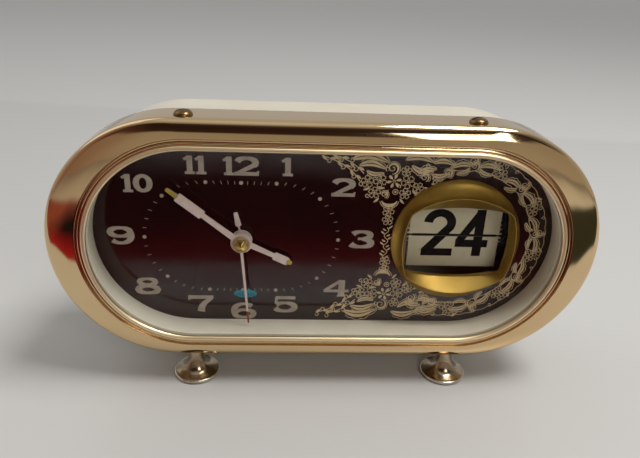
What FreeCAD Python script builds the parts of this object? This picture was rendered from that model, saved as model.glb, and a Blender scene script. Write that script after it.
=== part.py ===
import FreeCAD, Part
import math
import os

# Wind-up desk clock with an alarm and a flip calendar, in a racetrack-shaped case on four cone feet.
#
# Units are millimetres. The dial faces -Y, +X is to the right of someone who reads it and +Z is up.
# The origin is on the table, under the middle of the clock.
# A depth is counted from the front of the crystal ring towards the rear. Heights in the dial plane
# are counted from the middle of the bezel. A racetrack is two half circles joined by straight sides:
# it is given by the half length of its straights and by its end radius.

V = FreeCAD.Vector
AXIAL = V(0, 1, 0)
SIDEWAYS = V(1, 0, 0)
UPWARDS = V(0, 0, 1)

# ---------------------------------------------------------------- outer form
BEZEL_STRAIGHT = 50.9       # half length of the bezel's straight sides, so it is 190 mm wide
BEZEL_WALL = 0.8            # pressed brass sheet
BAND_FRONT = 4.9            # depth where the side band starts behind the rounded crease
BAND_REAR = 16.9            # depth of the band's rear edge
GLASS_STRAIGHT = 46.1       # half length of the straights of the glass opening
GLASS_RADIUS = 34.4         # end radius of the glass opening
RING_WIDTH = 1.7            # crystal ring
RING_DEPTH = 1.2
GROOVE_WIDTH = 0.8          # dark groove between the bezel's two mouldings
GROOVE_DEPTH = 0.9
MOULDING_WIDTH = 1.1        # inner moulding beside the crystal ring
MOULDING_FRONT = 0.7
RIDGE_WIDTH = 0.6           # ridge on the outer side of the groove
FACE_WIDTH = 5.5            # broad face with its rounded crease, so the bezel is 88 mm high
CREASE_ROUND = 1.1          # width of the rounding between the face and the side band

CRYSTAL_THICK = 1.5
CHAMBER_DEPTH = 9.8         # from the crystal to the dial
SURROUND_WALL = 1.4
SURROUND_FLANGE = 1.0
SURROUND_FLARE = 1.0        # how much longer the surround's straights are at the dial
DIAL_THICK = 0.5
DIAL_LEDGE = 2.6            # how far the dial rests on the shoulder in the case

CASE_GAP = 0.3              # play between the bezel's band and the case front
CASE_WALL = 2.4
CASE_TAPER = 2.6            # how much smaller the end radius is at the rear
CASE_EDGE_ROUND = 4.0
REAR_WALL = 2.5
COVER_THICK = 1.2
COVER_RADIUS = 33.6         # end radius of the rear cover
COVER_PLAY = 0.2
COVER_LEDGE = 4.2
COVER_SCREW_RISE = 1.1

# ---------------------------------------------------------------- feet and screws
FOOT_X = 47.4
FRONT_FOOT_DEPTH = 8.2
REAR_FOOT_INSET = 9.0       # from the case's rear face
FOOT_HEIGHT = 11.1          # below the bezel's band
FOOT_RIM_RADIUS = 8.6
FOOT_STEM_RADIUS = 2.6
FOOT_RIM_THICK = 1.0
STUD_RADIUS = 1.5
STUD_PLAY = 0.1
STUD_NUT_RADIUS = 3.0
STUD_NUT_THICK = 1.6
SCREW_HEAD_RADIUS = 3.1
SCREW_HEAD_HEIGHT = 1.8
SCREW_SLOT = 0.7
COVER_SCREW_X = 32.0
COVER_SCREW_HEAD = 2.0

# ---------------------------------------------------------------- hands and movement
HANDS_X = -29.9             # axis of the hands
HANDS_Z = -0.9
RUNNING_FIT = 0.05          # radial clearance of an arbor in its bore
SECONDS_ARBOR = 0.5
PIPE_WALL = 0.55
ALARM_PIPE_WALL = 0.8
ARBOR = 0.7                 # radius of the train's arbors
WINDING_ARBOR = 1.6
SET_ARBOR = 1.2

HAND_THICK = 0.4
ALARM_HAND_GAP = 0.8        # in front of the dial; each hand then clears the one behind it
HOUR_HAND_GAP = 0.9
MINUTE_HAND_GAP = 1.3
SECOND_HAND_GAP = 1.0
CAP_HEIGHT = 1.7
CAP_BROW = 0.5
CAP_WALL = 1.2              # from the cap's tip to the end of the seconds arbor in it
CAP_RADIUS = 2.4
HAND_HUB = 3.7
SECOND_HUB = 2.9

MINUTE_HAND_ANGLE = 308.5   # clockwise from 12: the clock shows 3:51 and 29 seconds
HOUR_HAND_ANGLE = 115.7
SECOND_HAND_ANGLE = 175.8
ALARM_HAND_ANGLE = 348.8

# the movement is a stack behind the dial: each piece clears the one in front by its own gap
WHEEL_THICK = 0.8
PLATE_THICK = 1.2
GREAT_WHEEL_THICK = 0.96
FOURTH_WHEEL_THICK = 0.64
ESCAPE_WHEEL_THICK = 0.5
LEVER_THICK = 0.4
BALANCE_THICK = 0.9
HAIRSPRING_THICK = 0.4
COCK_THICK = 1.0
REGULATOR_THICK = 0.6
BARREL_LENGTH = 6.2
ALARM_WHEEL_GAP = 0.9       # behind the dial
HOUR_WHEEL_GAP = 0.4        # behind the alarm wheel
MINUTE_WHEEL_GAP = 0.6      # behind the hour wheel
FRONT_PLATE_GAP = 0.9       # behind the minute wheel
GREAT_WHEEL_GAP = 1.6       # behind the front plate
CENTRE_WHEEL_GAP = 1.44     # behind the great wheel
BARREL_GAP = 0.6            # behind the centre wheel
THIRD_WHEEL_GAP = 2.8       # behind the centre wheel
FOURTH_WHEEL_GAP = 0.6      # behind the barrel
ESCAPE_WHEEL_GAP = 0.76     # behind the fourth wheel
LEVER_GAP = 0.3             # behind the escape wheel
REAR_PLATE_GAP = 0.4        # behind the lever
BALANCE_GAP = 1.6           # behind the rear plate
HAIRSPRING_GAP = 0.6        # behind the balance
COCK_GAP = 0.9              # behind the balance spring
REGULATOR_GAP = 0.5         # behind the cock
REGULATOR_SEAT_RISE = 0.9
POTENCE_GAP = 1.6           # in front of the fourth wheel
POTENCE_THICK = 1.0
POTENCE_RADIUS = 1.3
PINION_LENGTH = 2.0
PINION_OVERLAP = 0.4        # how far a pinion stands out before its wheel's mate
NUT_THICK = 1.6
STUD_GAP = 0.2

PLATE_LEFT = -34.0          # movement plates, counted from the axis of the hands
PLATE_RIGHT = 28.0
PLATE_LOW = -27.5
PLATE_HIGH = 28.0
PLATE_CORNER = 5.0
PILLAR_RADIUS = 2.0
PILLAR_INSET = 2.8
NUT_RADIUS = 2.4
DIAL_POST_HEIGHT = 18.5

# tooth counts, and the distance between the two arbors of each pair
CENTRE_TEETH = 48
THIRD_PINION_TEETH = 6
THIRD_TEETH = 45
SECONDS_PINION_TEETH = 6
FOURTH_TEETH = 36
ESCAPE_PINION_TEETH = 6
GREAT_TEETH = 30
CENTRE_PINION_TEETH = 6
CANNON_TEETH = 8
MINUTE_WHEEL_TEETH = 24
MINUTE_PINION_TEETH = 6
HOUR_TEETH = 24
TIME_SET_TEETH = 8
ALARM_TEETH = 24
ALARM_SET_TEETH = 6
ALARM_GREAT_TEETH = 24
ESCAPE_TEETH = 15

THIRD_DISTANCE = 16.2
THIRD_DIRECTION = 115.0     # directions are counter-clockwise from the 3, seen from the front
ESCAPE_DISTANCE = 10.8
ESCAPE_DIRECTION = 42.0
BARREL_DISTANCE = 20.0
BARREL_DIRECTION = 217.0
MINUTE_WHEEL_DISTANCE = 14.4
MINUTE_WHEEL_DIRECTION = 150.0
TIME_SET_DIRECTION = 170.0  # from the minute wheel
ALARM_SET_DISTANCE = 19.8
ALARM_SET_DIRECTION = 7.5
ALARM_BARREL_X = 15.0       # from the axis of the hands
ALARM_BARREL_Z = -14.0
BALANCE_X = 15.0
BALANCE_Z = 13.0
BARREL_RADIUS = 11.5
ALARM_BARREL_RADIUS = 9.5
BALANCE_RADIUS = 9.5
ESCAPE_RADIUS = 4.8
POTENCE_REACH = 7.0
PALLET_DISTANCE = 5.9
PALLET_SPREAD = 40.0
PALLET_PIN = 0.25
PALLET_PLAY = 0.5           # from the escape wheel's tips to a pin in its middle position

BELL_X = 12.0
BELL_Z = -8.0
BELL_RADIUS = 12.0
BELL_GAP = 0.4              # behind the hammer's arm
BELL_HEIGHT = 6.6
BELL_WALL = 0.9
BELL_POST = 3.8             # from the bell to the rear cover
BELL_POST_RADIUS = 1.8
SOUND_SLOT_RADIUS = 2.6     # round ends of the two slots in the rear cover, above and below the bell's post
SOUND_SLOT_HALF_WIDTH = 9.0
SOUND_SLOT_RISE = 6.4       # from the bell's middle to a slot's middle
HAMMER_GAP = 1.2            # behind the rear plate
HAMMER_THICK = 1.0
HAMMER_STUD = 1.2
HAMMER_HUB = 2.6
HAMMER_HUB_RISE = 0.9       # how far the hammer's hub reaches beside the bell
HAMMER_HEAD_RISE = 3.0
HAMMER_X = 21.5             # from the axis of the hands
HAMMER_Z = -11.5
HAMMER_REACH = 14.0
HAMMER_DIRECTION = 60.0
HAMMER_HEAD = 2.0

KNOB_GAP = 1.4              # from the rear cover to the knobs and keys
KEY_REACH = 12.6            # length of the two winding keys
KEY_SPAN = 22.0
KEY_THICK = 2.0
KEY_WING_RADIUS = 5.4
KEY_EYE = 0.42              # share of the wing's radius
KEY_HUB_RADIUS = 3.2
KEY_HUB_LENGTH = 6.6
KEY_WEB_START = 3.0
KNOB_RADIUS = 5.5
KNOB_LENGTH = 8.0
KNOB_COLLAR = 1.2
FLUTE_COUNT = 14
ARBOR_INSERT = 6.0          # how far an arbor goes into its key or knob
REGULATOR_REACH = 11.0
REGULATOR_RING = 3.4
REGULATOR_BORE = 2.0
REGULATOR_HALF = 0.8
REGULATOR_POINTER = 1.6     # how far the pointer stands out of the cover
STOP_X = 0.0                # alarm stop button, from the axis of the hands
STOP_Z = 22.0
STOP_RADIUS = 1.5
STOP_TRAVEL = 3.0
STOP_CAP_RADIUS = 3.8
STOP_CAP_LENGTH = 4.8
BUTTON_GAP = 1.1            # how much farther back than the knobs the two buttons start

SPRING_TURN_COUNT = 3       # balance spring
SPRING_STEP_COUNT = 16
SPRING_INNER = 1.3
SPRING_PITCH = 1.5
SPRING_HALF = 0.14
ESCAPE_HOOK_ANGLE = 7.0
ESCAPE_HEEL_ANGLE = 1.5
ALARM_GREAT_MODULE = 0.98
BARREL_HUB = 3.4

# ---------------------------------------------------------------- flip calendar
DATE_X = 46.5               # middle of the round calendar frame
DATE_Z = -0.2
FRAME_RADIUS = 23.3
FRAME_FLANGE = 1.2
FRAME_SHEET = 0.6
CREST_HALF_WIDTH = 20.2
CREST_HALF_HEIGHT = 18.5
CREST_CORNER_X = 18.0
CREST_CORNER_Z = 12.2
CREST_RISE = 6.3            # how far the crest stands in front of the dial
CREST_LAND = 0.4
REVEAL_DEPTH = 4.0
WINDOW_HALF_WIDTH = 18.6
WINDOW_HALF_HEIGHT = 13.5
WINDOW_CORNER_X = 17.4
WINDOW_CORNER_Z = 11.7

DAYS = 31
DRUM_X = 47.3
DRUM_SETBACK = 12.0         # from the dial's rear to the drum's axis
LEAF_PITCH_RADIUS = 8.0
LEAF_LENGTH = 12.4
LEAF_TAIL = 0.5             # how far a leaf reaches past its own hinge line
LEAF_HALF_WIDTH = 16.7
LEAF_THICK = 0.15
LEAF_TAB = 1.0
LEAF_TAB_HALF = 0.35
DRUM_DISC_RIM = 0.7         # outside the hinge line
DRUM_DISC_THICK = 0.8
DRUM_DISC_GAP = 0.3
NOTCH_HALF = 0.45
NOTCH_DEPTH = 0.55          # inside the hinge line
DRUM_CORE_INSET = 1.8
DRUM_CORE_WALL = 1.0
DRUM_SHAFT_RADIUS = 1.5
RATCHET_RIM = 0.3           # from the disc's rim to the root of the ratchet's teeth
RATCHET_TOOTH = 1.0
RATCHET_THICK = 0.8
SIDE_PLATE_THICK = 1.0
SIDE_PLATE_MARGIN = 0.6     # above the standing leaf
SIDE_PLATE_GAP = 5.3        # in front of the rear cover
SIDE_FLANGE = 6.0
SIDE_FLANGE_HALF_HEIGHT = 14.0
SIDE_FLANGE_THICK = 0.9
BAR_INSET = 2.2
BAR_END = 0.8
BAR_RADIUS = 1.3
PUSH_ROD_RADIUS = 1.2
PUSH_ROD_GAP = 0.9          # over the ratchet's teeth
PUSH_CAP_RADIUS = 3.2
PUSH_CAP_LENGTH = 4.5
LUG_INSET = 4.1             # lug of the push rod, from the side plate's rear edge
LUG_THICK = 1.4
LUG_REACH = 2.8
LUG_HALF = 2.2
COLLAR_GAP = 2.6            # collar of the push rod, in front of the rear cover
COLLAR_THICK = 0.8
COLLAR_RIM = 0.9
STRIP_RISE = 3.2            # return spring
STRIP_THICK = 0.3
STRIP_HALF = 0.9
STRIP_GAP = 0.2
CATCH_WIDTH = 10.0
CATCH_THICK = 0.3

# ---------------------------------------------------------------- sizes that follow from these
CRYSTAL_FRONT = RING_DEPTH
SURROUND_FRONT = CRYSTAL_FRONT + CRYSTAL_THICK
DIAL_FRONT = SURROUND_FRONT + CHAMBER_DEPTH
DIAL_REAR = DIAL_FRONT + DIAL_THICK
RING_OUTER = GLASS_RADIUS + RING_WIDTH
MOULDING_OUTER = RING_OUTER + MOULDING_WIDTH
GROOVE_OUTER = MOULDING_OUTER + GROOVE_WIDTH
RIDGE_OUTER = GROOVE_OUTER + RIDGE_WIDTH
BEZEL_RADIUS = RIDGE_OUTER + FACE_WIDTH
BAND_INNER = BEZEL_RADIUS - BEZEL_WALL
CASE_FRONT_RADIUS = BAND_INNER - CASE_GAP
CASE_FRONT = BAND_FRONT + 1.6
CASE_REAR_RADIUS = CASE_FRONT_RADIUS - CASE_TAPER
DIAL_RADIUS = CASE_FRONT_RADIUS - CASE_WALL
SHOULDER_RADIUS = DIAL_RADIUS - DIAL_LEDGE
OPENING_RADIUS = COVER_RADIUS - COVER_LEDGE
CENTRE_HEIGHT = BEZEL_RADIUS + FOOT_HEIGHT
DAY_STEP = 360.0 / DAYS

ALARM_HAND_DEPTH = DIAL_FRONT - ALARM_HAND_GAP - HAND_THICK
HOUR_HAND_DEPTH = ALARM_HAND_DEPTH - HOUR_HAND_GAP - HAND_THICK
MINUTE_HAND_DEPTH = HOUR_HAND_DEPTH - MINUTE_HAND_GAP - HAND_THICK
SECOND_HAND_DEPTH = MINUTE_HAND_DEPTH - SECOND_HAND_GAP - HAND_THICK
CAP_TIP_DEPTH = SECOND_HAND_DEPTH - CAP_HEIGHT

ALARM_WHEEL_DEPTH = DIAL_REAR + ALARM_WHEEL_GAP
HOUR_WHEEL_DEPTH = ALARM_WHEEL_DEPTH + WHEEL_THICK + HOUR_WHEEL_GAP
MINUTE_WHEEL_DEPTH = HOUR_WHEEL_DEPTH + WHEEL_THICK + MINUTE_WHEEL_GAP
FRONT_PLATE_DEPTH = MINUTE_WHEEL_DEPTH + WHEEL_THICK + FRONT_PLATE_GAP
FRONT_PLATE_REAR = FRONT_PLATE_DEPTH + PLATE_THICK
GREAT_WHEEL_DEPTH = FRONT_PLATE_REAR + GREAT_WHEEL_GAP
CENTRE_WHEEL_DEPTH = GREAT_WHEEL_DEPTH + GREAT_WHEEL_THICK + CENTRE_WHEEL_GAP
CENTRE_WHEEL_REAR = CENTRE_WHEEL_DEPTH + WHEEL_THICK
BARREL_DEPTH = CENTRE_WHEEL_REAR + BARREL_GAP
BARREL_REAR = BARREL_DEPTH + BARREL_LENGTH
THIRD_WHEEL_DEPTH = CENTRE_WHEEL_REAR + THIRD_WHEEL_GAP
FOURTH_WHEEL_DEPTH = BARREL_REAR + FOURTH_WHEEL_GAP
POTENCE_DEPTH = FOURTH_WHEEL_DEPTH - POTENCE_GAP - POTENCE_THICK
ESCAPE_WHEEL_DEPTH = FOURTH_WHEEL_DEPTH + FOURTH_WHEEL_THICK + ESCAPE_WHEEL_GAP
LEVER_DEPTH = ESCAPE_WHEEL_DEPTH + ESCAPE_WHEEL_THICK + LEVER_GAP
REAR_PLATE_DEPTH = LEVER_DEPTH + LEVER_THICK + REAR_PLATE_GAP
REAR_PLATE_REAR = REAR_PLATE_DEPTH + PLATE_THICK
BALANCE_DEPTH = REAR_PLATE_REAR + BALANCE_GAP
HAIRSPRING_DEPTH = BALANCE_DEPTH + BALANCE_THICK + HAIRSPRING_GAP
COCK_DEPTH = HAIRSPRING_DEPTH + HAIRSPRING_THICK + COCK_GAP
COCK_REAR = COCK_DEPTH + COCK_THICK
REGULATOR_DEPTH = COCK_REAR + REGULATOR_GAP
HAMMER_DEPTH = REAR_PLATE_REAR + HAMMER_GAP
BELL_DEPTH = HAMMER_DEPTH + HAMMER_THICK + BELL_GAP
HAMMER_HUB_REAR = BELL_DEPTH + HAMMER_HUB_RISE
BELL_REAR = BELL_DEPTH + BELL_HEIGHT
COVER_FRONT = BELL_REAR + BELL_POST
CASE_REAR = COVER_FRONT + COVER_THICK
REAR_FOOT_DEPTH = CASE_REAR - REAR_FOOT_INSET
KNOB_FRONT = CASE_REAR + KNOB_GAP
KEY_REAR = KNOB_FRONT + KEY_REACH
CAP_FRONT = KNOB_FRONT + BUTTON_GAP
MID_DEPTH = (KEY_REAR + FRONT_FOOT_DEPTH - FOOT_RIM_RADIUS) / 2.0

MINUTE_PIPE_BORE = SECONDS_ARBOR + RUNNING_FIT
MINUTE_PIPE = MINUTE_PIPE_BORE + PIPE_WALL
HOUR_PIPE_BORE = MINUTE_PIPE + RUNNING_FIT
HOUR_PIPE = HOUR_PIPE_BORE + PIPE_WALL
ALARM_PIPE_BORE = HOUR_PIPE + RUNNING_FIT
ALARM_PIPE = ALARM_PIPE_BORE + ALARM_PIPE_WALL

DRUM_DEPTH = DIAL_REAR + DRUM_SETBACK
DRUM_DISC_RADIUS = LEAF_PITCH_RADIUS + DRUM_DISC_RIM
NOTCH_FLOOR = LEAF_PITCH_RADIUS - NOTCH_DEPTH
DRUM_CORE_RADIUS = LEAF_PITCH_RADIUS - DRUM_CORE_INSET
RATCHET_ROOT = DRUM_DISC_RADIUS + RATCHET_RIM
RATCHET_RADIUS = RATCHET_ROOT + RATCHET_TOOTH
PUSH_ROD_Z = DATE_Z + RATCHET_RADIUS + PUSH_ROD_RADIUS + PUSH_ROD_GAP
SIDE_PLATE_HALF_HEIGHT = LEAF_PITCH_RADIUS + LEAF_LENGTH + SIDE_PLATE_MARGIN
SIDE_PLATE_REAR = COVER_FRONT - SIDE_PLATE_GAP
LUG_DEPTH = SIDE_PLATE_REAR - LUG_INSET
COLLAR_DEPTH = COVER_FRONT - COLLAR_GAP
DRUM_LEFT = DRUM_X - LEAF_HALF_WIDTH - DRUM_DISC_GAP
DRUM_RIGHT = DRUM_X + LEAF_HALF_WIDTH + DRUM_DISC_GAP
RATCHET_LEFT = DRUM_RIGHT + DRUM_DISC_THICK + 0.3
RIGHT_PLATE_X = RATCHET_LEFT + RATCHET_THICK + 1.0
LEFT_PLATE_X = DRUM_LEFT - DRUM_DISC_THICK - 1.5


# ---------------------------------------------------------------- shared shapes
def at(x, depth, z):
    """A point from its place across the dial, its depth and its height in the dial plane."""
    return V(x, depth - MID_DEPTH, z + CENTRE_HEIGHT)


def racetrack(half_straight, radius, depth):
    """A racetrack outline round the middle of the bezel."""
    left_top = at(-half_straight, depth, radius)
    right_top = at(half_straight, depth, radius)
    right_low = at(half_straight, depth, -radius)
    left_low = at(-half_straight, depth, -radius)
    right_end = at(half_straight + radius, depth, 0)
    left_end = at(-half_straight - radius, depth, 0)
    return Part.Wire([
        Part.makeLine(left_top, right_top),
        Part.Arc(right_top, right_end, right_low).toShape(),
        Part.makeLine(right_low, left_low),
        Part.Arc(left_low, left_end, left_top).toShape(),
    ])


def racetrack_block(half_straight, radius, front, rear):
    """A straight-sided racetrack block."""
    return Part.Face(racetrack(half_straight, radius, front)).extrude(AXIAL * (rear - front))


def racetrack_loft(stations):
    """A racetrack block whose outline changes with depth, from (half_straight, radius, depth) stations."""
    return Part.makeLoft([racetrack(*station) for station in stations], True, True)


def rod(x, z, radius, front, rear):
    """A round bar along the depth."""
    return Part.makeCylinder(radius, rear - front, at(x, front, z), AXIAL)


def tube(x, z, outer, inner, front, rear):
    """A round tube along the depth."""
    return rod(x, z, outer, front, rear).cut(rod(x, z, inner, front, rear))


def cross_rod(depth, z, radius, left, right):
    """A round bar across the clock."""
    return Part.makeCylinder(radius, right - left, at(left, depth, z), SIDEWAYS)


def turned_upright(x, depth, profile):
    """A solid of revolution about a vertical line, from (radius, height above the table) points."""
    points = [V(x + radius, depth - MID_DEPTH, height) for radius, height in profile]
    face = Part.Face(Part.makePolygon(points + points[:1]))
    return face.revolve(V(x, depth - MID_DEPTH, 0), UPWARDS, 360)


def turned_axial(x, z, profile):
    """A solid of revolution about a line along the depth, from (radius, depth) points."""
    points = [at(x + radius, depth, z) for radius, depth in profile]
    face = Part.Face(Part.makePolygon(points + points[:1]))
    return face.revolve(at(x, 0, z), AXIAL, 360)


def plate(points, front, thick):
    """A flat plate in the dial plane from (x, z) corners."""
    corners = [at(x, front, z) for x, z in points]
    return Part.Face(Part.makePolygon(corners + corners[:1])).extrude(AXIAL * thick)


def block(left, right, front, rear, low, high):
    """A rectangular block."""
    return Part.makeBox(right - left, rear - front, high - low, at(left, front, low))


def polar(distance, degrees):
    """The (x, z) place at a distance and direction, counter-clockwise from the right."""
    return distance * math.cos(math.radians(degrees)), distance * math.sin(math.radians(degrees))


def joined(first, *others):
    """One solid from several that touch."""
    result = first
    for other in others:
        result = result.fuse(other)
    return result.removeSplitter()


def hex_nut(x, z, radius, front, thick):
    """A hexagonal nut."""
    corners = [polar(radius, 60.0 * side) for side in range(6)]
    return plate([(x + dx, z + dz) for dx, dz in corners], front, thick)


# ---------------------------------------------------------------- toothed wheels
ADDENDUM = 0.62             # tooth height above the pitch circle, in modules
DEDENDUM = 0.95
TIP_SHARE = 0.16            # half width of a tooth in shares of the tooth spacing
ROOT_SHARE = 0.23


def module_of(distance, teeth, mate_teeth):
    """The module that lets two wheels mesh over the distance between their arbors."""
    return 2.0 * distance / (teeth + mate_teeth)


def toothed_outline(x, z, teeth, tip, root, phase):
    """Corners of a toothed wheel; the middle of one tooth points at the phase angle."""
    spacing = 360.0 / teeth
    corners = []
    for tooth in range(teeth):
        middle = phase + tooth * spacing
        for radius, share in ((root, -ROOT_SHARE), (tip, -TIP_SHARE), (tip, TIP_SHARE), (root, ROOT_SHARE)):
            dx, dz = polar(radius, middle + share * spacing)
            corners.append((x + dx, z + dz))
    return corners


def gear(place, teeth, module, front, thick, phase, bore):
    """A spur gear with straight-flanked teeth and a round bore."""
    x, z = place
    pitch = teeth * module / 2.0
    outline = toothed_outline(x, z, teeth, pitch + ADDENDUM * module, pitch - DEDENDUM * module, phase)
    return plate(outline, front, thick).cut(rod(x, z, bore, front, front + thick))


def mesh_phase(phase, teeth, direction, mate_teeth):
    """Phase of the mate whose tooth gap takes a tooth of the wheel, in a direction from the wheel."""
    ahead = (direction - phase) % (360.0 / teeth)
    return direction + 180.0 + ahead * teeth / mate_teeth - 180.0 / mate_teeth


def offset(place, distance, direction):
    """A place at a distance and direction from another."""
    dx, dz = polar(distance, direction)
    return place[0] + dx, place[1] + dz


HANDS = (HANDS_X, HANDS_Z)
THIRD = offset(HANDS, THIRD_DISTANCE, THIRD_DIRECTION)
ESCAPE = offset(HANDS, ESCAPE_DISTANCE, ESCAPE_DIRECTION)
BARREL = offset(HANDS, BARREL_DISTANCE, BARREL_DIRECTION)
MINUTE_WHEEL = offset(HANDS, MINUTE_WHEEL_DISTANCE, MINUTE_WHEEL_DIRECTION)
TIME_SET = offset(MINUTE_WHEEL, MINUTE_WHEEL_DISTANCE, TIME_SET_DIRECTION)
ALARM_SET = offset(HANDS, ALARM_SET_DISTANCE, ALARM_SET_DIRECTION)
ALARM_BARREL = (HANDS_X + ALARM_BARREL_X, HANDS_Z + ALARM_BARREL_Z)
BALANCE = (HANDS_X + BALANCE_X, HANDS_Z + BALANCE_Z)
STOP = (HANDS_X + STOP_X, HANDS_Z + STOP_Z)
HAMMER = (HANDS_X + HAMMER_X, HANDS_Z + HAMMER_Z)
PALLET_DIRECTION = math.degrees(math.atan2(BALANCE[1] - ESCAPE[1], BALANCE[0] - ESCAPE[0]))
PALLET = offset(ESCAPE, PALLET_DISTANCE, PALLET_DIRECTION)
PUSH_ROD_X = RATCHET_LEFT + RATCHET_THICK / 2.0

CANNON_PHASE = 0.0
THIRD_WHEEL_PHASE = 0.0
CENTRE_WHEEL_PHASE = 0.0
THIRD_MODULE = module_of(THIRD_DISTANCE, THIRD_TEETH, SECONDS_PINION_TEETH)
CENTRE_MODULE = module_of(THIRD_DISTANCE, CENTRE_TEETH, THIRD_PINION_TEETH)
ESCAPE_MODULE = module_of(ESCAPE_DISTANCE, FOURTH_TEETH, ESCAPE_PINION_TEETH)
BARREL_MODULE = module_of(BARREL_DISTANCE, GREAT_TEETH, CENTRE_PINION_TEETH)
MOTION_MODULE = module_of(MINUTE_WHEEL_DISTANCE, MINUTE_WHEEL_TEETH, CANNON_TEETH)
HOUR_MODULE = module_of(MINUTE_WHEEL_DISTANCE, HOUR_TEETH, MINUTE_PINION_TEETH)
ALARM_MODULE = module_of(ALARM_SET_DISTANCE, ALARM_TEETH, ALARM_SET_TEETH)


# ---------------------------------------------------------------- case
def bezel_face_stations(inset):
    """Stations of the bezel's polished face from the side band inwards; inset moves the inside skin."""
    face_straight = (BEZEL_STRAIGHT + GLASS_STRAIGHT) / 2.0
    face_radius = (BEZEL_RADIUS - CREASE_ROUND + RIDGE_OUTER) / 2.0
    return [
        (BEZEL_STRAIGHT, BEZEL_RADIUS - inset, BAND_REAR + inset),
        (BEZEL_STRAIGHT, BEZEL_RADIUS - inset, BAND_FRONT + inset * 0.2),
        (BEZEL_STRAIGHT, BEZEL_RADIUS - 0.35 - inset * 0.8, BAND_FRONT - 0.9 + inset * 0.6),
        (BEZEL_STRAIGHT, BEZEL_RADIUS - CREASE_ROUND - inset * 0.4, BAND_FRONT - 1.6 + inset * 0.9),
        (face_straight, face_radius, 1.75 + inset),
        (GLASS_STRAIGHT, RIDGE_OUTER, MOULDING_FRONT + inset),
    ]


def bezel():
    """Pressed brass bezel: side band, broad face, ridge, groove and inner moulding, with a lip inside."""
    outer_skin = racetrack_loft(bezel_face_stations(0.0))
    inner_skin = racetrack_loft(bezel_face_stations(BEZEL_WALL))
    groove_floor = MOULDING_FRONT + GROOVE_DEPTH
    shell = outer_skin.cut(inner_skin)
    mouldings = racetrack_loft([
        (GLASS_STRAIGHT, RIDGE_OUTER, MOULDING_FRONT),
        (GLASS_STRAIGHT, RIDGE_OUTER, groove_floor + BEZEL_WALL),
    ])
    shell = joined(shell, mouldings)
    groove = racetrack_loft([
        (GLASS_STRAIGHT, GROOVE_OUTER, MOULDING_FRONT),
        (GLASS_STRAIGHT, GROOVE_OUTER - GROOVE_WIDTH * 0.3, groove_floor),
    ]).cut(racetrack_loft([
        (GLASS_STRAIGHT, MOULDING_OUTER, MOULDING_FRONT),
        (GLASS_STRAIGHT, MOULDING_OUTER + GROOVE_WIDTH * 0.3, groove_floor),
    ]))
    lip = racetrack_block(GLASS_STRAIGHT, MOULDING_OUTER, groove_floor, SURROUND_FRONT)
    opening = racetrack_block(GLASS_STRAIGHT, RING_OUTER, 0.0, SURROUND_FRONT)
    result = joined(shell.cut(groove), lip).cut(opening)
    return result.cut(screw_holes(BEZEL_RADIUS))


def screw_holes(radius):
    """The four stud holes through a band of the given end radius, two above and two below."""
    holes = []
    for side in (-1, 1):
        start = at(side * FOOT_X, FRONT_FOOT_DEPTH, -radius - 5.0)
        holes.append(Part.makeCylinder(STUD_RADIUS + STUD_PLAY, 2.0 * radius + 10.0, start, UPWARDS))
    return Part.makeCompound(holes)


def crystal_ring():
    """Bright rounded ring that frames the crystal."""
    outer = racetrack_loft([
        (GLASS_STRAIGHT, RING_OUTER, RING_DEPTH),
        (GLASS_STRAIGHT, RING_OUTER, 0.35),
        (GLASS_STRAIGHT, RING_OUTER - 0.35, 0.0),
    ])
    inner = racetrack_loft([
        (GLASS_STRAIGHT, GLASS_RADIUS, RING_DEPTH),
        (GLASS_STRAIGHT, GLASS_RADIUS, 0.5),
        (GLASS_STRAIGHT, GLASS_RADIUS + 0.35, 0.0),
    ])
    return outer.cut(inner)


def crystal():
    """Flat clear crystal, held between its ring and the dial surround."""
    return racetrack_block(GLASS_STRAIGHT, RING_OUTER, CRYSTAL_FRONT, SURROUND_FRONT)


def dial_surround():
    """Cream wall between the crystal and the dial, with a flange at each end."""
    flange_rear = SURROUND_FRONT + SURROUND_FLANGE
    front_flange = racetrack_block(GLASS_STRAIGHT, GROOVE_OUTER, SURROUND_FRONT, flange_rear)
    wall = racetrack_loft([
        (GLASS_STRAIGHT, GLASS_RADIUS + SURROUND_WALL, SURROUND_FRONT),
        (GLASS_STRAIGHT + SURROUND_FLARE, GLASS_RADIUS + SURROUND_WALL, DIAL_FRONT),
    ])
    rear_flange = racetrack_block(BEZEL_STRAIGHT, DIAL_RADIUS - 1.0, DIAL_FRONT - SURROUND_FLANGE, DIAL_FRONT)
    opening = racetrack_loft([
        (GLASS_STRAIGHT, GLASS_RADIUS, SURROUND_FRONT),
        (GLASS_STRAIGHT + SURROUND_FLARE, GLASS_RADIUS, DIAL_FRONT),
    ])
    return joined(front_flange, wall, rear_flange).cut(opening)


def dial_plate():
    """Dark dial with holes for the hands' pipes and for the calendar."""
    dial = racetrack_block(BEZEL_STRAIGHT, DIAL_RADIUS - COVER_PLAY, DIAL_FRONT, DIAL_REAR)
    hands_hole = rod(HANDS_X, HANDS_Z, ALARM_PIPE + 0.3, DIAL_FRONT, DIAL_REAR)
    date_hole = rod(DATE_X, DATE_Z, FRAME_RADIUS - FRAME_FLANGE, DIAL_FRONT, DIAL_REAR)
    return dial.cut(hands_hole).cut(date_hole)


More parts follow.
